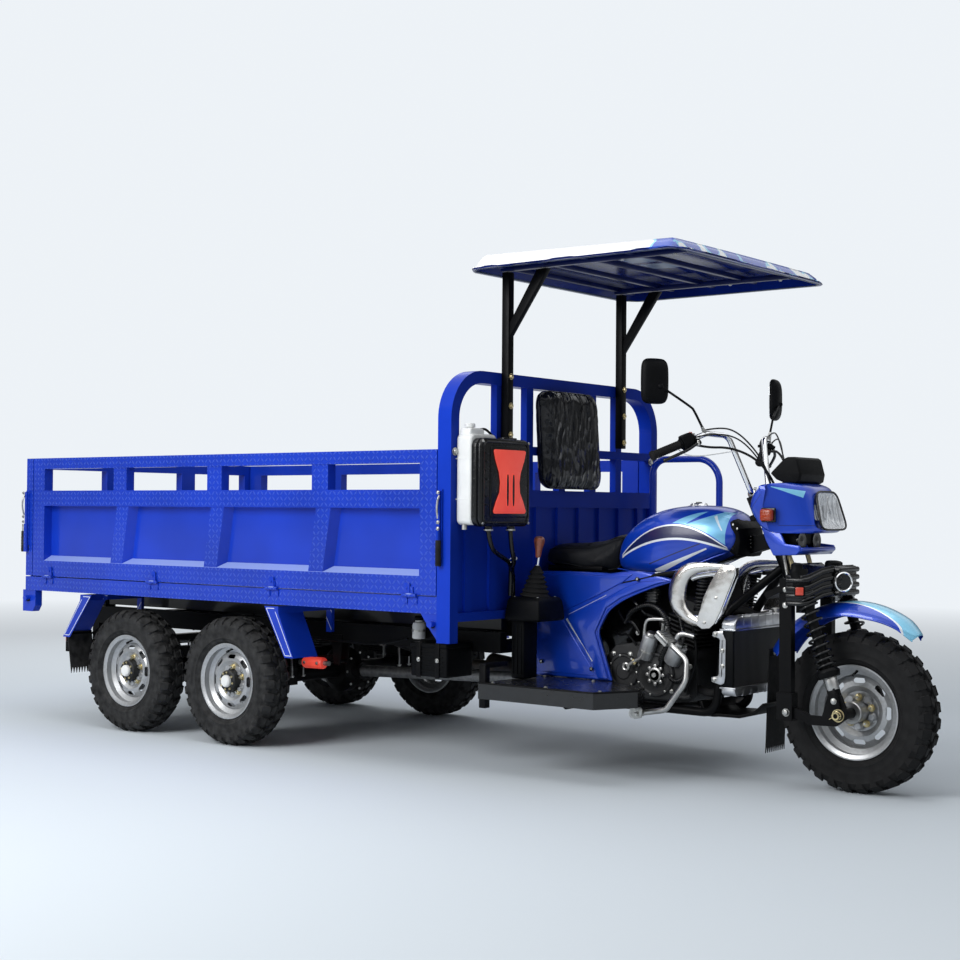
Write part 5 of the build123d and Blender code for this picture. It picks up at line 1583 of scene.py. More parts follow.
class TRIKE_OT_covers(bpy.types.Operator):
    """Side panels with their raised bands, shoulders, lip along the notch, painted highlight lines and screws
    """
    bl_idname = "trike.covers"
    bl_label = "Side covers"

    panels = (  # finish, y, depth, edge, outline
        ("cover blue", -205, 0.024, 0.009, (
            (-1366, 796), (-1200, 800), (-1042, 799), (-993, 797), (-945, 804), (-889, 811), (-840, 809),
            (-794, 802), (-742, 791), (-688, 778), (-760, 757), (-850, 726), (-930, 692), (-1000, 648),
            (-1053, 558), (-984, 361), (-1366, 361))),
        ("cover blue", -213, 0.018, 0.0055, (
            (-1204, 612), (-1003, 700), (-930, 738), (-850, 768), (-740, 778), (-704, 775), (-764, 762),
            (-854, 732), (-936, 700), (-1008, 656), (-1062, 556), (-996, 368), (-1048, 368), (-1072, 428))),
        ("cover blue", -210, 0.014, 0.0045, (
            (-1358, 786), (-1200, 790), (-1040, 788), (-960, 792), (-880, 798), (-930, 762), (-1014, 722),
            (-1216, 634), (-1290, 690))),
        ("cover blue", -207.5, 0.012, 0.004, (
            (-1356, 660), (-1300, 668), (-1222, 596), (-1088, 420), (-1062, 376), (-1356, 376))),
        ("black plastic", -185, 0.004, 0, (
            (-1360, 790), (-1010, 776), (-860, 790), (-930, 706), (-1030, 640), (-1085, 556), (-1020, 366),
            (-1360, 366))))

    def execute(self, context):
        parts = [side_plate(name, y, points, depth, edge, 3) for name, y, depth, edge, points in self.panels]
        lip = [(x, -203, z) for x, z in ((-692, 777), (-762, 759), (-850, 728), (-932, 694), (-998, 651),
                                         (-1030, 604), (-1053, 557), (-1038, 505), (-985, 364))]
        parts.append(pipe("cover blue", lip, 0.0050))
        cup = ((0, 1), (6.0, 1), (8.5, 0), (8.5, -2.4), (6.2, -3.0), (5.4, -1.6), (0, -1.6))
        for x, z in ((-858, 778), (-1077, 405), (-1330, 420), (-1330, 770)):
            parts += [lathe("gloss plastic", at(x, -212, z), "Y", cup, 20),
                      bar("zinc", (x, -212, z), (x, -214.6, z), 0.0045, sides=12)]
        hand_over(both_sides(*parts), "side_panels", "chassis", ["side_covers"], 35)
        return {"FINISHED"}


class TRIKE_OT_seat(bpy.types.Operator):
    """Rider's seat: a padded vinyl saddle with its seams and base pan"""
    bl_idname = "trike.seat"
    bl_label = "Seat"

    stations = ((-1362, 846, 884, 132), (-1350, 832, 900, 160), (-1318, 824, 909, 170),
                (-1240, 814, 910, 170), (-1165, 805, 912, 158), (-1105, 798, 924, 136),
                (-1062, 795, 940, 112), (-1034, 802, 952, 90), (-1017, 826, 956, 72))

    def ring(self, x, low, high, half):
        return [at(x, y, z) for y, z in (
            (0, low), (half * 0.8, low), (half - 3, low + 6), (half, low + (high - low) * 0.36),
            (half - 6, low + (high - low) * 0.66), (half * 0.86, high - 12), (half * 0.6, high - 3),
            (0, high))]

    def execute(self, context):
        body = lofted([sided(self.ring(*station)) for station in self.stations])
        painted(puffed(body, 0.006, 0.006), "seat vinyl")
        lines = [([at(-1165, y, 950) for y in range(-130, 131, 20)], 0.0002, 0.0022)]
        for index, radius in ((5, 0.0024), (2, 0.0030)):
            for side in (1, -1):
                track = [Vector((p.x, p.y * side, p.z)) for p in
                         (self.ring(*station)[index] for station in self.stations)]
                lines.append(([a.lerp(b, t / 4) for a, b in zip(track, track[1:]) for t in range(4)],
                              0.0003, radius))
        seams = [painted(tube(onto(body, points, lift), radius, 8), "seat vinyl")
                 for points, lift, radius in lines]
        saddle = hand_over([body, *seams], "padded_saddle", "chassis", ["seat"], 60)
        hand_over([slab("black plastic", (-1346, -148, 800), (-1070, 148, 822), 0.006),
                   slab("frame black", (-1362, -60, 806), (-1340, 60, 832), 0.004)],
                  "seat_pan", "chassis")
        return {"FINISHED"}


class TRIKE_OT_backrest(bpy.types.Operator):
    """Padded backrest in a creased glossy wrap"""
    bl_idname = "trike.backrest"
    bl_label = "Backrest"

    low, tall = 1132, 434

    def half_width(self, t):
        """Half-width of the pad at a share of its height: wide low down, rounded at both ends."""
        half = 226 - 8 * t
        for edge, reach in ((t, 0.10), (1 - t, 0.08)):
            if edge < reach:
                half -= 40 * (1 - math.sqrt(max(0.0, 1 - (1 - edge / reach) ** 2)))
        return half

    def loop(self, count, depth, shrink_y, shrink_z):
        """A line round the pad at a share of its depth; the pad has slipped a little sideways."""
        points = []
        for c, s in round_steps(count):
            t = 0.5 + 0.5 * math.copysign(abs(s) ** 0.24, s)
            y = math.copysign(abs(c) ** 0.24, c) * self.half_width(min(max(t, 0.03), 0.97))
            points.append(at(-1375 + depth * 57, y * shrink_y + 22 - 38 * t,
                             1349 + (t - 0.5) * self.tall * shrink_z))
        return points

    def execute(self, context):
        rings = [self.loop(40, depth, shrink, 0.25 + 0.75 * shrink) for depth, shrink in (
            (0, 0.90), (0.04, 0.955), (0.25, 1), (0.60, 1), (0.82, 0.97), (0.95, 0.88), (1, 0.70))]
        pad = puffed(lofted(rings, 1), 0.007, 0.009)
        seam = tube(onto(pad, self.loop(80, 0.80, 1, 1), 0.0004), 0.0026, 8, cyclic=True)
        rest = hand_over([painted(one, "backrest vinyl") for one in (pad, seam)], "padded_backrest", "bed",
                         ["backrest"], 70)
        return {"FINISHED"}


# ------------------------------------------------------------------ engine bay and rider's floor
class TRIKE_OT_engine(bpy.types.Operator):
    """Covers, starter, ribbed hoses, linkage and bolts on the engine's right side"""
    bl_idname = "trike.engine"
    bl_label = "Engine details"

    def covers(self):
        case = [(-1046, 340), (-1040, 455), (-990, 506), (-880, 524), (-760, 520), (-664, 486), (-640, 410),
                (-660, 318), (-740, 296), (-980, 296)]
        parts = [side_plate("dark casting", -146, case, -0.016, 0.006, 3)]
        for x, z, r in ((-800, 398, 90), (-948, 402, 72)):
            c = at(x, -160, z)
            dish = ((0, 14), (0.42, 14), (0.50, 10), (0.80, 10), (0.86, 14), (0.95, 13), (1.0, 6), (1.0, 0),
                    (0, 0))
            parts.append(lathe("dark casting", c, "Y", [(share * r, -h) for share, h in dish], 48))
            parts += bolts([c + Vector((a * 0.9 * r, -12, b * 0.9 * r)) * MM for a, b in round_steps(7)],
                           RIGHT, 0.008, washer=False)
        c = at(-790, -176, 398)
        lobe = rod(c + Vector((0.036, 0, 0)), c + Vector((0.036, -0.010, 0)), 0.0075, sides=14, edge=0.002)
        parts += [painted(one, "brushed steel") for one in ring_of(lobe, c, 8)]
        boss = ((0, -20), (8, -20), (10, -17), (10, -12), (22, -12), (24, -9), (24, 0), (0, 0))
        parts += [bar("brushed steel", (-790, -176, 398), (-790, -188, 398), 0.030, sides=36, edge=0.003),
                  lathe("brushed steel", c, "Y", boss, 36)]
        for low, high, radius, end, edge, cap, cap_end, height in (
                (at(-846, -170, 462), at(-806, -186, 556), 0.033, 0.031, 0.005, 0.024, 0.018, 0.012),
                (at(-724, -162, 452), at(-680, -182, 520), 0.036, 0.036, 0.007, 0.020, 0.020, 0.016)):
            way = (high - low).normalized()
            sides = 28 if cap > 0.02 else 24
            parts += [painted(rod(low, high, radius, end, 32, edge), "cast alloy"),
                      painted(rod(high, high + way * height, cap, cap_end, sides, 0.003), "brushed steel")]
            if cap > 0.02:
                parts.append(painted(rod(low + way * 0.034, low + way * 0.040, 0.0345, sides=32), "zinc"))
        parts.append(pipe("brushed steel", ((-700, -186, 505), (-690, -190, 560), (-655, -186, 572),
                                            (-612, -180, 560)), 0.011, 12))
        hand_over(parts, "engine_covers", "chassis")

    def hoses(self):
        parts = []
        for points, radius, spacing, depth in (
                (((-946, -160, 596), (-905, -176, 652), (-806, -184, 684), (-730, -188, 628),
                  (-716, -188, 540), (-762, -182, 470), (-768, -176, 430)), 0.0125, 0.0085, 0.0030),
                (((-700, -150, 640), (-668, -178, 590), (-652, -186, 540), (-690, -184, 486)),
                 0.0100, 0.0075, 0.0025),
                (((-736, -178, 402), (-690, -192, 374), (-648, -192, 396), (-640, -184, 452)),
                 0.0105, 0.0075, 0.0026)):
            parts += ribbed([at(*point) for point in points], radius, spacing, depth, "gloss plastic")
        for name, radius, points in (
                ("gloss plastic", 0.0065, ((-1004, -120, 640), (-960, -160, 600), (-900, -172, 610),
                                           (-870, -174, 560))),
                ("black plastic", 0.0050, ((-1030, -110, 560), (-980, -160, 540), (-920, -176, 560),
                                           (-880, -180, 510))),
                ("black plastic", 0.0055, ((-640, -150, 600), (-600, -176, 520), (-606, -184, 420),
                                           (-660, -170, 340))),
                ("gloss plastic", 0.0075, ((-928, -150, 700), (-880, -160, 664), (-850, -150, 630),
                                           (-820, -110, 620)))):
            parts.append(pipe(name, points, radius))
        parts.append(slab("gloss plastic", (-838, -176, 676), (-792, -140, 742), 0.006, 3))
        parts += [slab("gloss plastic", (-842, -180, z), (-788, -136, z + 4), 0.001)
                  for z in (688, 700, 712, 724)]
        hand_over(parts, "engine_hoses", "chassis")

    def linkage(self):
        lever = ((-914, -196, 428), (-872, -198, 452), (-838, -200, 470), (-832, -200, 540),
                 (-828, -198, 612), (-800, -196, 622), (-738, -190, 622))
        eye = [(-920 + 13 * c, -196, 424 + 13 * s) for c, s in round_steps(12)]
        shift = ((-700, -176, 336), (-680, -205, 330), (-640, -212, 318), (-608, -214, 330))
        parts = [pipe("brushed steel", lever, 0.0065, 10), pipe("brushed steel", eye, 0.0055, cyclic=True),
                 pipe("dark casting", shift, 0.0065, 10)]
        for x, z, size in ((-920, 470, 15), (-886, 560, 12), (-742, 622, 12), (-640, 440, 12),
                           (-664, 520, 13), (-880, 398, 12), (-726, 336, 12), (-870, 330, 12),
                           (-1000, 470, 12), (-1004, 340, 12)):
            parts += bolts([(x, -162, z)], RIGHT, size * MM)
        parts += bolts([(-880, -196, 446)], RIGHT, 0.014, "gold zinc")
        parts += [bar("zinc", (x, -176, z), (x + 14, -196, z + 40), 0.007, sides=10, edge=0.001)
                  for x, z in ((-760, 566), (-742, 556))]
        hand_over(parts, "engine_linkage", "chassis")

    def execute(self, context):
        self.covers()
        self.hoses()
        self.linkage()
        skid = [(-620, 300), (-604, 262), (-560, 248), (-440, 250), (-372, 268), (-330, 312), (-340, 316),
                (-380, 280), (-442, 262), (-558, 260), (-594, 272), (-608, 304)]
        # a black sheet on the far side of the engine: painted shade, not a part of the machine
        shade_screen = [(-1050, 330), (-1060, 780), (-600, 800), (-520, 640), (-540, 300)]
        rail = ((-1030, -196, 742), (-900, -196, 766), (-760, -196, 800), (-660, -196, 812))
        hand_over([side_plate("frame black", -128, skid, 0.256, 0.002),
                   side_plate("black plastic", 112, shade_screen, 0.006, 0.002), pipe("frame black", rail, 0.010)],
                  "belly_guard_and_shade_screen", "chassis")
        return {"FINISHED"}


class TRIKE_OT_radiator(bpy.types.Operator):
    """Radiator with pressed end tanks, finned core, side brackets, cap and hoses"""
    bl_idname = "trike.radiator"
    bl_label = "Radiator"

    def core(self):
        parts = [slab("radiator core", (-443, -234, 380), (-407, 234, 598))]
        for half in ([(200, 650), (222, 646), (247, 624), (247, 600)],
                     [(232, 346), (247, 358), (247, 378)]):
            whole = [(-y, z) for y, z in reversed(half)] + half
            parts.append(face_plate("end tank", -455, whole, 0.060, 0.007, 3))
        for y in range(-180, 181, 60):
            parts += [slab("end tank", (-456, y - 5, low), (-394, y + 5, high), 0.003)
                      for low, high in ((606, 651), (345, 372))]
        parts += [slab("end tank", (-459, -250, z - 3), (-391, 250, z + 3), 0.001) for z in (599, 377)]
        parts += [slab("black plastic", (-447, y - 7, 380), (-403, y + 7, 598), 0.002) for y in (-240, 240)]
        cap = ((0, 0), (16, 0), (16, 8), (24, 9), (25, 16), (18, 19), (0, 20))
        parts.append(lathe("zinc", at(-425, 150, 648), "Z", cap, 32))
        hand_over(parts, "radiator_core", "chassis", ["radiator"])

    def brackets(self):
        arm = [(-444, 584), (-444, 596), (-488, 590), (-490, 572), (-462, 566), (-458, 560), (-462, 430),
               (-466, 422), (-494, 416), (-494, 398), (-452, 388), (-438, 396), (-434, 420), (-432, 560)]
        lip = [(-452, 420), (-450, 560), (-444, 560), (-446, 420)]
        parts = [side_plate("end tank", -252, arm, 0.005, 0.0015),
                 side_plate("end tank", -252, lip, 0.03, 0.001),
                 *bolts([(x, -252, z) for x, z in ((-476, 580), (-480, 407), (-445, 520), (-445, 460))],
                        RIGHT, 0.013),
                 *(bar("black plastic", (x, -247, z), (x, -226, z), 0.011)
                   for x, z in ((-476, 580), (-480, 407)))]
        hand_over(both_sides(*parts), "radiator_brackets", "chassis")

    def execute(self, context):
        self.core()
        self.brackets()
        parts = [pipe("flap rubber", points, 0.0165, 12) for points in (
            ((-452, 110, 626), (-500, 100, 640), (-560, 84, 660), (-610, 60, 640), (-650, 40, 610)),
            ((-452, -110, 362), (-500, -112, 352), (-560, -110, 336), (-620, -96, 338), (-660, -80, 350)))]
        parts += [bar("zinc", start, end, 0.0185) for start, end in (
            ((-458, 110, 626), (-468, 108, 628)), ((-458, -110, 362), (-468, -110, 360)))]
        fan = ((98, 0), (98, -30), (92, -30), (92, -4), (0, -4), (0, 0))
        motor = ((0, 0), (34, 0), (34, -34), (26, -40), (0, -40))
        shroud = [(-228, 384), (228, 384), (228, 594), (-228, 594)]
        parts += [face_plate("black plastic", -448, shroud, -0.008, 0.003),
                  lathe("black plastic", at(-458, 0, 489), "X", fan, 40),
                  lathe("black plastic", at(-462, 0, 489), "X", motor, 28)]
        hand_over(parts, "radiator_hoses", "chassis")
        return {"FINISHED"}


class TRIKE_OT_guards(bpy.types.Operator):
    """Polished crash guards: a swelling C-shaped band, an upper tube and a pressed plate"""
    bl_idname = "trike.guards"
    bl_label = "Crash guards"

    path = [(-408, 838, 12), (-470, 839, 15), (-540, 837, 20), (-590, 829, 28), (-626, 802, 36),
            (-645, 760, 40), (-650, 716, 40), (-638, 674, 35), (-608, 644, 26), (-568, 624, 19),
            (-530, 616, 13)]

    def execute(self, context):
        y = -250
        rings = []
        for number, (x, z, r) in enumerate(self.path):
            before, after = self.path[max(0, number - 1)], self.path[min(len(self.path) - 1, number + 1)]
            way = Vector((after[0] - before[0], 0, after[1] - before[1])).normalized()
            across = way.cross(Vector((0, 1, 0)))
            rings.append([at(x, y, z) + (across * c * r + Vector((0, s * r * 0.62, 0))) * MM
                          for c, s in round_steps(16)])
        face = [(-448, 846), (-398, 848), (-386, 838), (-390, 812), (-450, 672), (-476, 622), (-498, 602),
                (-532, 598), (-554, 612), (-552, 640), (-540, 672), (-524, 724), (-498, 772), (-478, 806)]
        flange = [*face[2:6], (-472, 620), (-446, 670), (-385, 812)]
        low, high = (-576, y + 52, 664), (-556, y + 48, 796)
        parts = [painted(lofted(rings), "polished plate"),
                 side_plate("polished plate", y - 12, face, 0.005, 0.0022, 3),
                 side_plate("chrome", y - 8, flange, 0.026, 0.001),
                 pipe("chrome", ((-420, y + 14, 812), (-540, y + 18, 812), (-592, y + 20, 790)), 0.012, 12),
                 pipe("chrome", ((-580, y + 16, 640), (-530, y + 16, 634), (-490, y + 14, 640)), 0.011, 12),
                 *bolts([(x, y - 12, z) for x, z in ((-412, 826), (-520, 622), (-470, 720))], RIGHT, 0.010,
                        washer=False),
                 bar("frame black", (-503, -133, 640), (-512, y + 2, 640), 0.009),
                 bar("frame black", (-470, -120, 806), (-440, y + 4, 812), 0.009),
                 painted(coil(at(-576, y + 52, 672), at(-556, y + 48, 788), 0.024, 0.0065, 9),
                         "dark casting"),
                 bar("black plastic", low, (-576, y + 52, 673), 0.027, edge=0.002),
                 bar("black plastic", (-556, y + 48, 786), (-555, y + 48, 796), 0.027, edge=0.002),
                 bar("black plastic", low, high, 0.013)]
        hand_over(both_sides(*parts), "crash_guards", "chassis", ["side_guards"], 40)
        return {"FINISHED"}


class TRIKE_OT_console(bpy.types.Operator):
    """Floor console with its bellows boot, gear lever and knob"""
    bl_idname = "trike.console"
    bl_label = "Gear console"

    def execute(self, context):
        x, y = -1278, -330
        corners = ((-1, -1), (1, -1), (1, 1), (-1, 1))
        rings = [[at(x + sx * w, y + sy * d, z) for sx, sy in corners]
                 for z, w, d in ((598, 78, 84), (606, 88, 93), (682, 80, 84), (696, 70, 72))]
        parts = [painted(rounded(lofted(rings, 0), 0.006, 3, 25), "black plastic"),
                 slab("black plastic", (-1352, -392, 362), (-1288, -296, 604), 0.006, 3),
                 *(slab("black plastic", (rib - 3, -396, 380), (rib + 3, -391, 580), 0.002)
                   for rib in (-1340, -1320, -1300)),
                 *bolts([(x + sx * 58, y + sy * 60, 694) for sx, sy in corners], UP, 0.008)]
        folds = [(64 - 6.6 * n + dr, 19 * n + dz) for n in range(6)
                 for dr, dz in ((-9, 0), (0, 5), (0, 9), (-9, 15))]
        boot = lathe("flap rubber", (0, 0, 0), "Z", [(0, 0), *folds, (16, 122), (10, 132), (0, 132)], 36)
        grip = ((0, 162), (10, 163), (12, 168), (12.5, 190), (17, 206), (22.5, 224), (23.5, 236), (20, 246),
                (12, 251), (0, 252))
        knob = lathe("knob", (0, 0, 0), "Z", grip, 36)
        lean = Matrix.Translation(at(x, y, 694)) @ Matrix.Rotation(math.radians(5), 4, "Y")
        parts += placed(lean, (smoothed(boot, 1), "flap rubber"), (smoothed(knob, 1), "knob"),
                        (rod((0, 0, 0.120), (0.004, 0, 0.170), 0.0065), "chrome"),
                        (rod((0, 0, 0.128), (0, 0, 0.134), 0.009), "zinc"))
        hand_over(parts, "gear_lever_console", "chassis", ["gear_console"], 40)
        return {"FINISHED"}


class TRIKE_OT_floor(bpy.types.Operator):
    """Rear posts, tie bars and edge trims of the footboards, and the pedal's bracket and pad"""
    bl_idname = "trike.floor"
    bl_label = "Footboard fittings"

    def execute(self, context):
        edge = ((-1340, -617, 361), (-791, -617, 361), (-703, -449, 361), (-747, -333, 361))
        parts = [slab("frame black", (-1341, -618, 262), (-1309, -586, 430), 0.003),
                 slab("frame black", (-1341, -616, 420), (-1309, -470, 440), 0.003),
                 *(slab("frame black", (x, -619, 300), (x + 5, -612, 356), 0.001)
                   for x in (-1240, -1120, -1000, -880)),
                 pipe("frame black", edge, 0.0045, smooth=False),
                 *bolts([(-1300, -580, 360), (-1040, -580, 360), (-800, -560, 360), (-1300, -230, 360),
                         (-1040, -250, 360)], UP, 0.012)]
        hand_over(both_sides(*parts), "footboard_trim", "chassis")

        lug = [(-792, 300), (-748, 300), (-734, 282), (-736, 250), (-770, 242), (-790, 262)]
        ribs = [block((-0.030 + n * 0.013, -0.034, 0.009), (-0.024 + n * 0.013, 0.034, 0.0125), 0.001)
                for n in range(5)]
        lie = Matrix.Translation(at(-668, -300, 559)) @ Matrix.Rotation(math.radians(40), 4, "Y")
        pad = block((-0.033, -0.037, 0), (0.033, 0.037, 0.010), 0.003)
        parts = [side_plate("zinc", -366, lug, 0.005, 0.0015), *bolts([(-760, -367, 262)], RIGHT, 0.016),
                 *bolts([(-770, -367, 286)], RIGHT, 0.010),
                 *placed(lie, *((part, "brushed steel") for part in (pad, *ribs)))]
        hand_over(parts, "pedal_fittings", "chassis")
        return {"FINISHED"}


# ------------------------------------------------------------------ rider's controls
class TRIKE_OT_controls(bpy.types.Operator):
    """Ribbed grips, switch blocks with their buttons, levers and perches"""
    bl_idname = "trike.controls"
    bl_label = "Hand controls"

    def execute(self, context):
        start, end = at(-520, -250, 1352), at(-655, -425, 1262)
        way = (end - start).normalized()
        turned_out = way.to_track_quat("Z", "Y").to_matrix().to_4x4()

        def along(s, dx=0, dy=0, dz=0):
            """A point beside the bar, s millimetres outward from its end."""
            return end + way * s * MM + Vector((dx, dy, dz)) * MM

        def grip(name, first, last, *size, **settings):
            return painted(rod(along(*first), along(*last), *size, **settings), name)

        def switch(name, low, high, *edge):
            return placed(Matrix.Translation(along(-178)) @ turned_out, (block(low, high, *edge), name))

        ridge = grip("flap rubber", (-118,), (-113,), 0.0172, sides=28, edge=0.0012)
        blade = [along(-168, 30, 0, -11), along(-120, 54, 0, -14), along(-60, 52, 0, -18),
                 along(-14, 44, 0, -22)]
        perch = [along(-179, 2, 0, 0), along(-176, 24, 4, -6), along(-168, 38, 0, -12)]
        parts = [grip("flap rubber", (-122,), (2,), 0.0155, edge=0.002),
                 ridge, *copied(ridge, *(Matrix.Translation(way * 0.0082 * n) for n in range(1, 14))),
                 grip("flap rubber", (-6,), (6,), 0.0195, edge=0.002),
                 grip("black plastic", (-128,), (-121,), 0.021, edge=0.002),
                 *switch("black plastic", (-0.022, -0.030, 0.002), (0.022, 0.030, 0.050), 0.008, 3),
                 *switch("gloss plastic", (-0.0215, -0.0235, 0.022), (0.0215, 0.0245, 0.024)),
                 grip("red lens", (-164, 4, -4, 23), (-164, 5, -5, 32), 0.0075, 0.0065, 20, 0.001),
                 grip("gloss plastic", (-146, 4, -4, 23), (-146, 5, -5, 32), 0.0075, 0.0065, 20, 0.001),
                 grip("gloss plastic", (-155, -24, 6, 4), (-155, -31, 8, 4), 0.006, sides=18),
                 grip("black plastic", (-186,), (-172,), 0.0175, edge=0.002),
                 painted(tube(perch, 0.0095, 10), "black plastic"),
                 *bolts([along(-179, 0, 0, 17)], UP, 0.010),
                 grip("zinc", (-168, 34, 0, -2), (-168, 34, 0, -22), 0.0065, sides=18, edge=0.001),
                 painted(tube(blade, 0.0062, 10), "gloss plastic"),
                 painted(ball(along(-12, 44, 0, -22), 0.0085, 10), "gloss plastic"),
                 grip("zinc", (-182, 20, -8, 2), (-192, 10, 12, 4), 0.0055, sides=14)]
        hand_over(both_sides(*parts), "hand_grips", "steering", ["hand_controls"], 40)

        clamps = [bar("brushed steel", (-424, -70, 1122), (-421, -46, 1122), 0.019, sides=28, edge=0.003),
                  *bolts([(-424 + dx, -58, 1142) for dx in (-11, 11)], UP, 0.009)]
        hand_over(both_sides(*clamps), "bar_clamps", "steering")
        return {"FINISHED"}


class TRIKE_OT_mirrors(bpy.types.Operator):
    """Rounded mirror heads with their glass, on cranked stalks"""
    bl_idname = "trike.mirrors"
    bl_label = "Mirrors"

    def ring(self, x, half_y, half_z, corner, count=28):
        """A rounded rectangle across the mirror head, in metres; a small corner makes it squarer."""
        return [Vector((x, math.copysign(abs(c) ** corner, c) * half_y,
                        math.copysign(abs(s) ** corner, s) * half_z))
                * MM for c, s in round_steps(count)]

    def execute(self, context):
        parts = []
        for side, yaw, centre in ((-1, -28, at(-642, -426, 1548)), (1, 16, at(-596, 462, 1526))):
            foot, knee = at(-524, side * 262, 1358), at(-538, side * 322, 1446)
            head = centre + Vector((0.018, side * -0.012, -0.022))
            low = foot + (knee - foot) * 0.12
            rings = [self.ring(*layer) for layer in (
                (-20, 50, 80, 0.40), (-19, 56, 86, 0.42), (-12, 59, 89, 0.44), (0, 58, 87, 0.46),
                (10, 50, 77, 0.52), (17, 36, 58, 0.6), (19, 20, 32, 0.7))]
            pane = plate(self.ring(-21.5, 51, 81, 0.42, 40), (0.002, 0, 0), 0.0006)
            parts += placed(Matrix.Translation(centre) @ Matrix.Rotation(math.radians(yaw), 4, "Z"),
                            (lofted(rings, 1), "black plastic"), (pane, "mirror glass"),
                            (ball((0.016, side * -0.012, -0.020), 0.012, 10), "black plastic"))
            stalk = [low, knee + (foot - knee) * 0.10, knee + (head - knee) * 0.08, head]
            parts += [painted(tube(stalk, 0.0048, 10), "frame black"),
                      painted(rod(foot + (knee - foot) * -0.06, low, 0.0085, 0.0075, 6), "zinc"),
                      painted(rod(low, low + (knee - foot) * 0.10, 0.0062, sides=6), "zinc")]
        hand_over(parts, "rear_view_mirrors", "steering", ["mirrors"], 45)
        return {"FINISHED"}


class TRIKE_OT_cables(bpy.types.Operator):
    """Switch looms, throttle and clutch cables and brake wires from the bars to the headlight housing"""
    bl_idname = "trike.cables"
    bl_label = "Control cables"

    runs = (  # name, diameter, finish, sides, control points
        ("loom", 0.0095, "flap rubber", (-1, 1), (
            (-572, 322, 1316), (-520, 268, 1296), (-452, 190, 1300), (-384, 120, 1262), (-344, 74, 1200),
            (-336, 52, 1160))),
        ("cable", 0.0065, "gloss plastic", (-1, 1), (
            (-530, 268, 1362), (-488, 222, 1376), (-440, 170, 1366), (-390, 116, 1300), (-352, 80, 1220),
            (-340, 70, 1160))),
        ("brake_cable", 0.0060, "gloss plastic", (-1, 1), (
            (-536, 308, 1336), (-488, 252, 1352), (-428, 176, 1340), (-380, 110, 1270), (-350, 60, 1180),
            (-352, 44, 1140))),
        ("switch_wire", 0.0045, "white plastic", (-1,), (
            (-594, 352, 1296), (-576, 334, 1268), (-530, 290, 1262), (-480, 244, 1272), (-436, 186, 1284))))

    def execute(self, context):
        for name, diameter, coat, sides, points in self.runs:
            for side in sides:
                cable([at(x, side * y, z) for x, y, z in points], diameter,
                      name + ("_right" if side < 0 else "_left"), coat, "steering", "rubber",
                      stiffness="stiff", lay="loose")
        return {"FINISHED"}


# ------------------------------------------------------------------ canopy and headboard fittings
class TRIKE_OT_canopy(bpy.types.Operator):
    """Crowned roof skin with its turned rim, and the posts, braces and carriers under it"""
    bl_idname = "trike.canopy"
    bl_label = "Canopy"

    rim, rear, front, half = 2018, -1430, -455, 600

    def top(self, u, v):
        """A point on the roof's skin: u runs forward and v across, both closer together at the edges."""
        u, v = (0.5 + (t - 0.5) * (1 + 0.6 * (1 - (2 * abs(t - 0.5)) ** 3)) if 0 < t < 1 else t
                for t in (u, v))
        x = self.rear + (self.front - self.rear) * u
        side = (v - 0.5) * 2
        corner = max(0.0, 1 - (x - self.rear) / 70) ** 2 * 46 + max(0.0, 1 - (self.front - x) / 26) ** 2 * 22
        y = side * (self.half - corner * abs(side) ** 6)
        edge = min(self.half * (1 - abs(side)) - 9, x - self.rear - 9, (self.front - x - 6) * 1.3)
        t = min(1.0, max(0.0, edge / 52))
        crown = 9 * (1 - side * side) * min(1.0, 4 * u * (1 - u) + 0.2)
        return at(x, y, self.rim + 4 + (62 - 17 * u) * (1 - (1 - t) ** 2.4) + crown * t)

    def execute(self, context):
        rim, rear, front, half = self.rim, self.rear, self.front, self.half
        roof = skin(44, 44, self.top, closed=False)
        modify(roof, "SOLIDIFY", thickness=0.0035, offset=-1)
        painted(edit(roof, OUTWARD), "roof skin")
        right = [(rear + 3, 46 - half), (rear + 46, 2 - half), (-900, 1 - half),
                 (front - 30, 2 - half), (front - 3, 26 - half), (front - 2, 0)]
        edge = [(x, y, rim + 3) for x, y in (*right, *((x, -y) for x, y in right[-2::-1]), right[0])]
        hand_over([roof, pipe("roof rim", edge, 0.0042, smooth=False)], "canopy_skin", "bed",
                  ["canopy_roof"], 40)

        parts = [slab("carrier blue", (x - 11, -540, rim + 22), (x + 11, 540, rim + 42), 0.002)
                 for x in (rear + 60 + (front - rear - 140) * n / 4 for n in range(5))]
        brace = [(-1346, 1750), (-1340, 1818), (-1204, rim + 8), (-1148, rim + 8)]
        for side, foot, corner in ((-1, 1063, 738), (1, 1331, 700)):
            y = side * 422
            parts += [slab("frame black", (-1376, y - 18, foot), (-1340, y + 18, rim + 8), 0.003),
                      slab("carrier blue", (rear + 42, y - 14, rim + 12), (front - 62, y + 14, rim + 34),
                           0.003),
                      side_plate("frame black", y - 13, brace, 0.026, 0.0025)]
            parts += bolts([(-1338, y, z) for z in (1778, 1800)], AHEAD, 0.011)
            parts += bolts([(-1340, y, z) for z in (1597, 1477, 1358)], AHEAD, 0.017, "gold zinc")
            parts += bolts([(-1376, side * corner, 1280)], AHEAD, 0.021)
            parts += bolts([(x, y, rim + 12) for x in (-1180, -800, -560)], DOWN, 0.012)
        hand_over(parts, "canopy_posts", "bed", ["canopy_frame"])
        return {"FINISHED"}


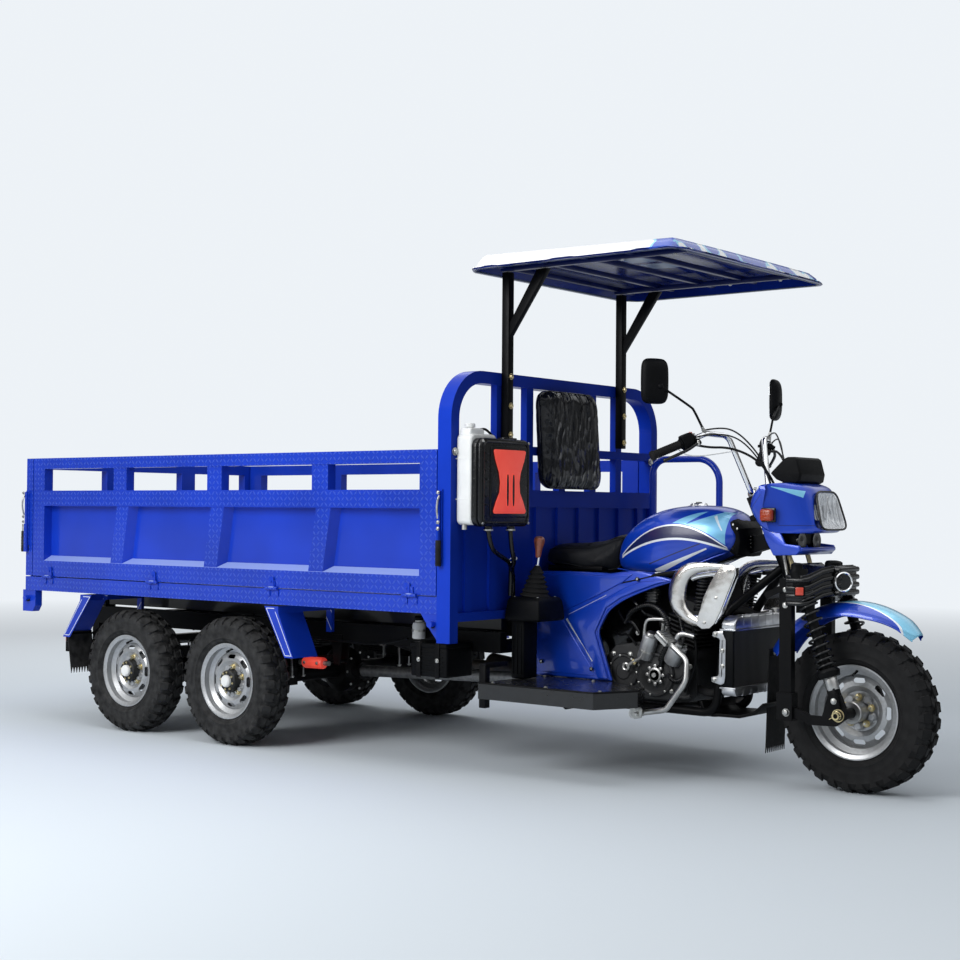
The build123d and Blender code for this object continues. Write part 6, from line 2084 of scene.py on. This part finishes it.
def round_box(low, high, radius, steps=7):
    """Corners of a rectangle in YZ, rounded, from its low and high corners."""
    points = []
    for cy, cz, first in ((high[0], high[1], 0), (low[0], high[1], 90), (low[0], low[1], 180),
                          (high[0], low[1], 270)):
        y = cy - math.copysign(radius, cy - low[0] - 1)
        z = cz - math.copysign(radius, cz - low[1] - 1)
        for n in range(steps):
            angle = math.radians(first + 90 * n / (steps - 1))
            points.append((y + radius * math.cos(angle), z + radius * math.sin(angle)))
    return points


class TRIKE_OT_air_box(bpy.types.Operator):
    """Filter box with its red insert, the pale tank behind it and their hoses"""
    bl_idname = "trike.air_box"
    bl_label = "Filter box"

    def filter_box(self):
        low, high, centre = (-730, 984), (-405, 1334), -552
        parts = [face_plate(name, x, round_box(*corners, radius), depth, edge, segments)
                 for name, x, corners, radius, depth, edge, segments in (
                     ("gloss plastic", -1300, (low, high), 36, 0.026, 0.005, 3),
                     ("black plastic", -1275, ((-726, 988), (-409, 1330)), 33, 0.004, 0.001, 3),
                     ("gloss plastic", -1272, (low, high), 36, 0.022, 0.011, 5),
                     ("gloss plastic", -1252, ((-672, 1020), (-430, 1306)), 16, 0.006, 0.003, 3))]
        lip = [(-1250, y, z) for y, z in round_box((-714, 1000), (-421, 1318), 24)]
        parts.append(pipe("gloss plastic", lip, 0.0045, smooth=False, cyclic=True))
        half = [(98, 1290), (104, 1284), (94, 1250), (70, 1200), (62, 1160), (66, 1120), (88, 1084),
                (106, 1046), (100, 1036)]
        insert = [(centre + y, z) for y, z in half + [(-y, z) for y, z in reversed(half)]]
        parts.append(face_plate("red insert", -1247, insert, 0.007, 0.0028, 3))
        for y in (centre - 18, centre + 20):
            slot = round_box((y - 7, 1066), (y + 7, 1192), 6.9)
            bead = [(-1240, y + dy, z) for dy, z in
                    ((-9, 1070), (-9, 1190), (0, 1199), (9, 1190), (9, 1070), (0, 1061))]
            parts += [face_plate("gloss plastic", -1242, slot, 0.003),
                      pipe("red insert", bead, 0.0022, cyclic=True)]
        for z in range(1070, 1300, 34):
            parts += [slab("gloss plastic", (-1252, -700, z - 3), (-1247, -682, z + 3), 0.001),
                      slab("gloss plastic", (-1294, -733, z - 2), (-1280, -729, z + 2), 0.001)]
        parts += bolts([(-1252, y, z) for y in (-716, -419) for z in (998, 1320)], AHEAD, 0.010, washer=False)
        for y in (-650, -505):
            parts += [bar("gloss plastic", (-1274, y, 986), (-1274, y, 966), 0.017),
                      bar("zinc", (-1274, y, 974), (-1274, y, 968), 0.0195)]
        parts.append(slab("gloss plastic", (-1300, -560, 1326), (-1270, -470, 1341), 0.003))
        hand_over(parts, "filter_box", "bed", ["air_cleaner"], 35)

    def pale_tank(self):
        neck = ((0, 0), (15, 0), (15, 8), (21, 9), (21, 21), (18, 24), (0, 24))
        belly, shoulder = round_box((-730, 990), (-560, 1352), 24), round_box((-722, 1330), (-630, 1374), 14)
        parts = [face_plate("white plastic", -1376, belly, 0.076, 0.012, 4),
                 face_plate("white plastic", -1366, shoulder, 0.056, 0.008, 3),
                 lathe("white plastic", at(-1338, -690, 1368), "Z", neck, 32),
                 *(slab("white plastic", (-1377, -732, z), (-1299, -558, z + 4), 0.001)
                   for z in (1090, 1250)),
                 *bolts([(-1338, -722, 985)], DOWN, 0.014),
                 bar("zinc", (-1338, -722, 992), (-1338, -722, 972), 0.011),
                 pipe("black plastic", ((-1345, -640, 1366), (-1345, -600, 1378), (-1340, -570, 1368),
                                        (-1330, -540, 1338)), 0.005)]
        hand_over(parts, "pale_tank", "bed", ["water_tank"], 40)

    def execute(self, context):
        self.filter_box()
        self.pale_tank()
        for name, points in (
                ("breather_hose",
                 ((-1274, -650, 970), (-1276, -634, 900), (-1292, -548, 866), (-1318, -446, 838),
                                   (-1346, -404, 800), (-1356, -396, 700))),
                ("intake_hose",
                 ((-1274, -505, 970), (-1274, -500, 900), (-1284, -462, 846), (-1322, -432, 812),
                                 (-1358, -372, 780), (-1366, -364, 690)))):
            cable([at(*p) for p in points], 0.019, name, "gloss plastic", "bed", "rubber", stiffness="stiff",
                  lay="loose")
        loop = [(-1306 + 18 * c, -446 + 16 * s, 850 + 10 * s) for c, s in round_steps(10)]
        tie = pipe("white plastic", loop, 0.0022, 6, cyclic=True)
        hand_over([tie], "hose_tie", "bed")
        return {"FINISHED"}


class TRIKE_OT_bed_fittings(bpy.types.Operator):
    """Latch grips and hooks, hinge straps, gate stops, flaps behind the wheels and tail lamps"""
    bl_idname = "trike.bed_trim"
    bl_label = "Bed fittings"

    def latches(self, x, name, body):
        """A sprung latch on each side: ribbed grip, rod and hook."""
        hook = [(x + dx, y, z) for dx, y, z in (
            (-3, -774, 1010), (-3, -784, 1040), (1, -786, 1080), (5, -780, 1104), (1, -768, 1112))]
        made = [bar(coat, (x, -776, low), (x, -776, high), radius, sides=sides, edge=edge)
                for coat, low, high, radius, sides, edge in (
                    ("flap rubber", 826, 930, 0.0115, 24, 0.003), ("zinc", 930, 964, 0.008, 18, 0),
                    *(("flap rubber", z, z + 3, 0.0125, 24, 0) for z in (838, 852, 866, 880, 894)))]
        made += [pipe("zinc", hook, 0.0042), *bolts([(x, -779, z) for z in (975, 1000, 1118)], RIGHT, 0.010)]
        hand_over(both_sides(*made), name, body)

    def straps(self, side, word):
        """Hinge straps of one gate, spaced along it from its rear end."""
        made = []
        rear, run = -4044, 2578
        for n in range(4):
            foot, out = at(rear + run * (0.05 + 0.30 * n), side * 766, 706), (0, side, 0)
            points = [foot + Vector(p) * MM for p in ((-17, 0, 6), (17, 0, 6), (14, 0, 50), (-14, 0, 50))]
            made.append(painted(plate(points, (0, side * 0.0035, 0), 0.0012), "bed enamel"))
            made += bolts([foot + Vector((0, side * 0.0035, 0.028))], out, 0.0085, "bed enamel", False)
        hand_over(made, "gate_straps_" + word, "side_gate_" + word)

    def buffers(self, side, word):
        """Rubber stops that a dropped gate rests on."""
        made = []
        for x in (-4095, -1466):
            foot, tip = (x, side * 756, 591), (x, side * 774, 591)
            made.append(bar("flap rubber", foot, tip, 0.013, 0.010, 28, 0.003))
            made += bolts([(x, side * 773, 591)], (0, side, 0), 0.010, washer=False)
        hand_over(made, "gate_buffers_" + word, "bed")

    def execute(self, context):
        self.latches(-1426, "headboard_latches", "bed")
        self.latches(-4117, "tail_latches", "tailgate")
        for fitting in (self.straps, self.buffers):
            for side, word in ((-1, "right"), (1, "left")):
                fitting(side, word)

        top = at(-3782, -684, 444)
        flap = toothed(top, at(-3748, -684, 245), 0.072, 9)
        flap += bolts([top + Vector((0.002, y, -0.016)) for y in (-0.05, 0, 0.05)], (-1, 0, -0.1), 0.012)
        hand_over(both_sides(*flap), "toothed_rear_flaps", "chassis", ["rear_mudflaps"])

        lamps = [slab("black plastic", (-4080, -540, 362), (-4054, -400, 414), 0.004, 3)]
        lamps += [slab(name, (-4088, y0, 367), (-4078, y1, 409), 0.003, 3) for y0, y1, name in (
            (-536, -494, "red lens"), (-490, -448, "amber lens"), (-444, -404, "red lens"))]
        lamps += bolts([(-4088, y, 388) for y in (-492, -446)], (-1, 0, 0), 0.006, washer=False)
        lamps.append(pipe("black plastic", ((-4056, -470, 390), (-4030, -470, 384), (-4010, -440, 400),
                                            (-4000, -400, 430)), 0.005))
        hand_over(both_sides(*lamps), "lamp_clusters", "chassis", ["tail_lamps"])
        return {"FINISHED"}


class TRIKE_OT_underbody(bpy.types.Operator):
    """Spring clips, shaft joints, battery case, reservoir, brake lines and their red cylinder"""
    bl_idname = "trike.underbody"
    bl_label = "Underbody"

    def battery_case(self):
        low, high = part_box("battery_box")
        c = (low + high) / 2

        def piece(name, a, b, edge=0.001, segments=2):
            return painted(block(a, b, edge, segments), name)

        parts = [piece("black plastic", low, (high.x, high.y, high.z - 0.018), 0.008, 3),
                 piece("black plastic", (low.x - 0.003, low.y - 0.003, high.z - 0.022), high, 0.006, 3)]
        for x in (c.x - 0.05, c.x + 0.05):
            parts.append(piece("frame black", (x - 0.011, low.y - 0.006, low.z - 0.003),
                               (x + 0.011, low.y - 0.001, high.z + 0.003)))
            parts += bolts([Vector((x, low.y - 0.005, c.z))], RIGHT, 0.012)
        for n in range(5):
            z = low.z + 0.022 + n * 0.02
            parts.append(piece("black plastic", (low.x + 0.02, low.y - 0.003, z),
                               (high.x - 0.02, low.y, z + 0.005)))
        hand_over(parts, "battery_case", "chassis", ["battery_box"])

    def reservoir(self):
        low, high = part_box("brake_fluid_bottle")
        foot = Vector(((low.x + high.x) / 2, (low.y + high.y) / 2, low.z))
        flask = ((0, 0), (24, 0), (28, 4), (28, 58), (24, 68), (15, 72), (15, 78), (0, 78))
        cap = ((0, 78), (18, 78), (19, 80), (19, 94), (16, 98), (0, 98))
        band = rod(foot + Vector((0, 0, 0.03)), foot + Vector((0, 0, 0.04)), 0.0295)
        tail = block((foot.x - 0.012, foot.y + 0.02, low.z + 0.02), (foot.x + 0.012, high.y, low.z + 0.05),
                     0.002)
        parts = [lathe("white plastic", foot, "Z", flask, 36), lathe("black plastic", foot, "Z", cap, 30),
                 painted(band, "zinc"), painted(tail, "zinc")]
        hand_over(parts, "fluid_reservoir", "chassis", ["brake_fluid_bottle"], 40)

    def execute(self, context):
        self.battery_case()
        self.reservoir()
        parts = []
        spring_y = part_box("leaf_springs")[1].y - 0.035
        for m in (middle("rear_axle_1"), middle("rear_axle_2")):
            for side in (-1, 1):
                for dx in (-0.05, 0.05):
                    legs = [Vector((m.x + dx, side * spring_y + dy, z))
                            for dy, z in ((-0.036, 0.285), (-0.036, 0.40), (0.036, 0.40), (0.036, 0.285))]
                    parts.append(painted(tube(legs, 0.006, 8, smooth=False), "brushed steel"))
                    parts += bolts([legs[0], legs[3]], DOWN, 0.017)
            parts += bolts([Vector((m.x + 0.092, 0.085 * c, m.z + 0.085 * s)) for c, s in round_steps(8)],
                           AHEAD, 0.011, washer=False)
        hand_over(parts, "spring_clips", "chassis")

        parts = [bar("red insert", (-2470, -452, 360), (-2350, -452, 362), 0.026, 0.026, 28, 0.008),
                 bar("zinc", (-2352, -452, 362), (-2320, -452, 363), 0.011, sides=18),
                 bar("zinc", (-2500, -452, 359), (-2468, -452, 360), 0.012, sides=18),
                 slab("frame black", (-2430, -458, 380), (-2400, -446, 424), 0.002),
                 *bolts([(x, -478, 362) for x in (-2450, -2372)], RIGHT, 0.010)]
        hand_over(parts, "brake_cylinder", "chassis")

        lines = [pipe("black plastic", points, 0.0055) for points in (
            ((-2560, -460, 480), (-2300, -464, 470), (-2000, -462, 460), (-1860, -452, 500)),
            ((-3300, -380, 460), (-3000, -392, 520), (-2700, -396, 500), (-2480, -430, 380)))]
        hand_over(lines, "brake_lines", "chassis")
        return {"FINISHED"}


# ------------------------------------------------------------------ panel and registration
PIECES = (
    TRIKE_OT_stage, TRIKE_OT_frame, TRIKE_OT_tyres, TRIKE_OT_wheel_fittings, TRIKE_OT_fork_springs,
    TRIKE_OT_fork_details, TRIKE_OT_fork_cover, TRIKE_OT_front_fender, TRIKE_OT_nacelle,
    TRIKE_OT_instruments, TRIKE_OT_tank, TRIKE_OT_covers, TRIKE_OT_seat, TRIKE_OT_backrest,
    TRIKE_OT_engine, TRIKE_OT_radiator, TRIKE_OT_guards, TRIKE_OT_console, TRIKE_OT_floor,
    TRIKE_OT_controls, TRIKE_OT_mirrors, TRIKE_OT_cables, TRIKE_OT_canopy, TRIKE_OT_air_box,
    TRIKE_OT_bed_fittings, TRIKE_OT_underbody,
)


class TRIKE_PT_panel(bpy.types.Panel):
    """The pieces in the order in which they are made, and the sizes and colours they use"""
    bl_label = "Dump tricycle"
    bl_space_type = "VIEW_3D"
    bl_region_type = "UI"
    bl_category = "Tricycle"

    def draw(self, context):
        for group in (context.scene.trike_sizes, context.scene.trike_colours):
            box = self.layout.box()
            for name in group.__annotations__:
                box.prop(group, name)
        column = self.layout.column(align=True)
        for piece in PIECES:
            column.operator(piece.bl_idname)


CLASSES = (TrikeColours, TrikeSizes, *PIECES, TRIKE_PT_panel)


def register():
    for one in CLASSES:
        bpy.utils.register_class(one)
    bpy.types.Scene.trike_colours = PointerProperty(type=TrikeColours)
    bpy.types.Scene.trike_sizes = PointerProperty(type=TrikeSizes)


def unregister():
    del bpy.types.Scene.trike_sizes
    del bpy.types.Scene.trike_colours
    for one in reversed(CLASSES):
        bpy.utils.unregister_class(one)


def main():
    register()
    for piece in PIECES:
        getattr(bpy.ops.trike, piece.bl_idname.split(".")[1])()


if __name__ == "__main__":
    main()
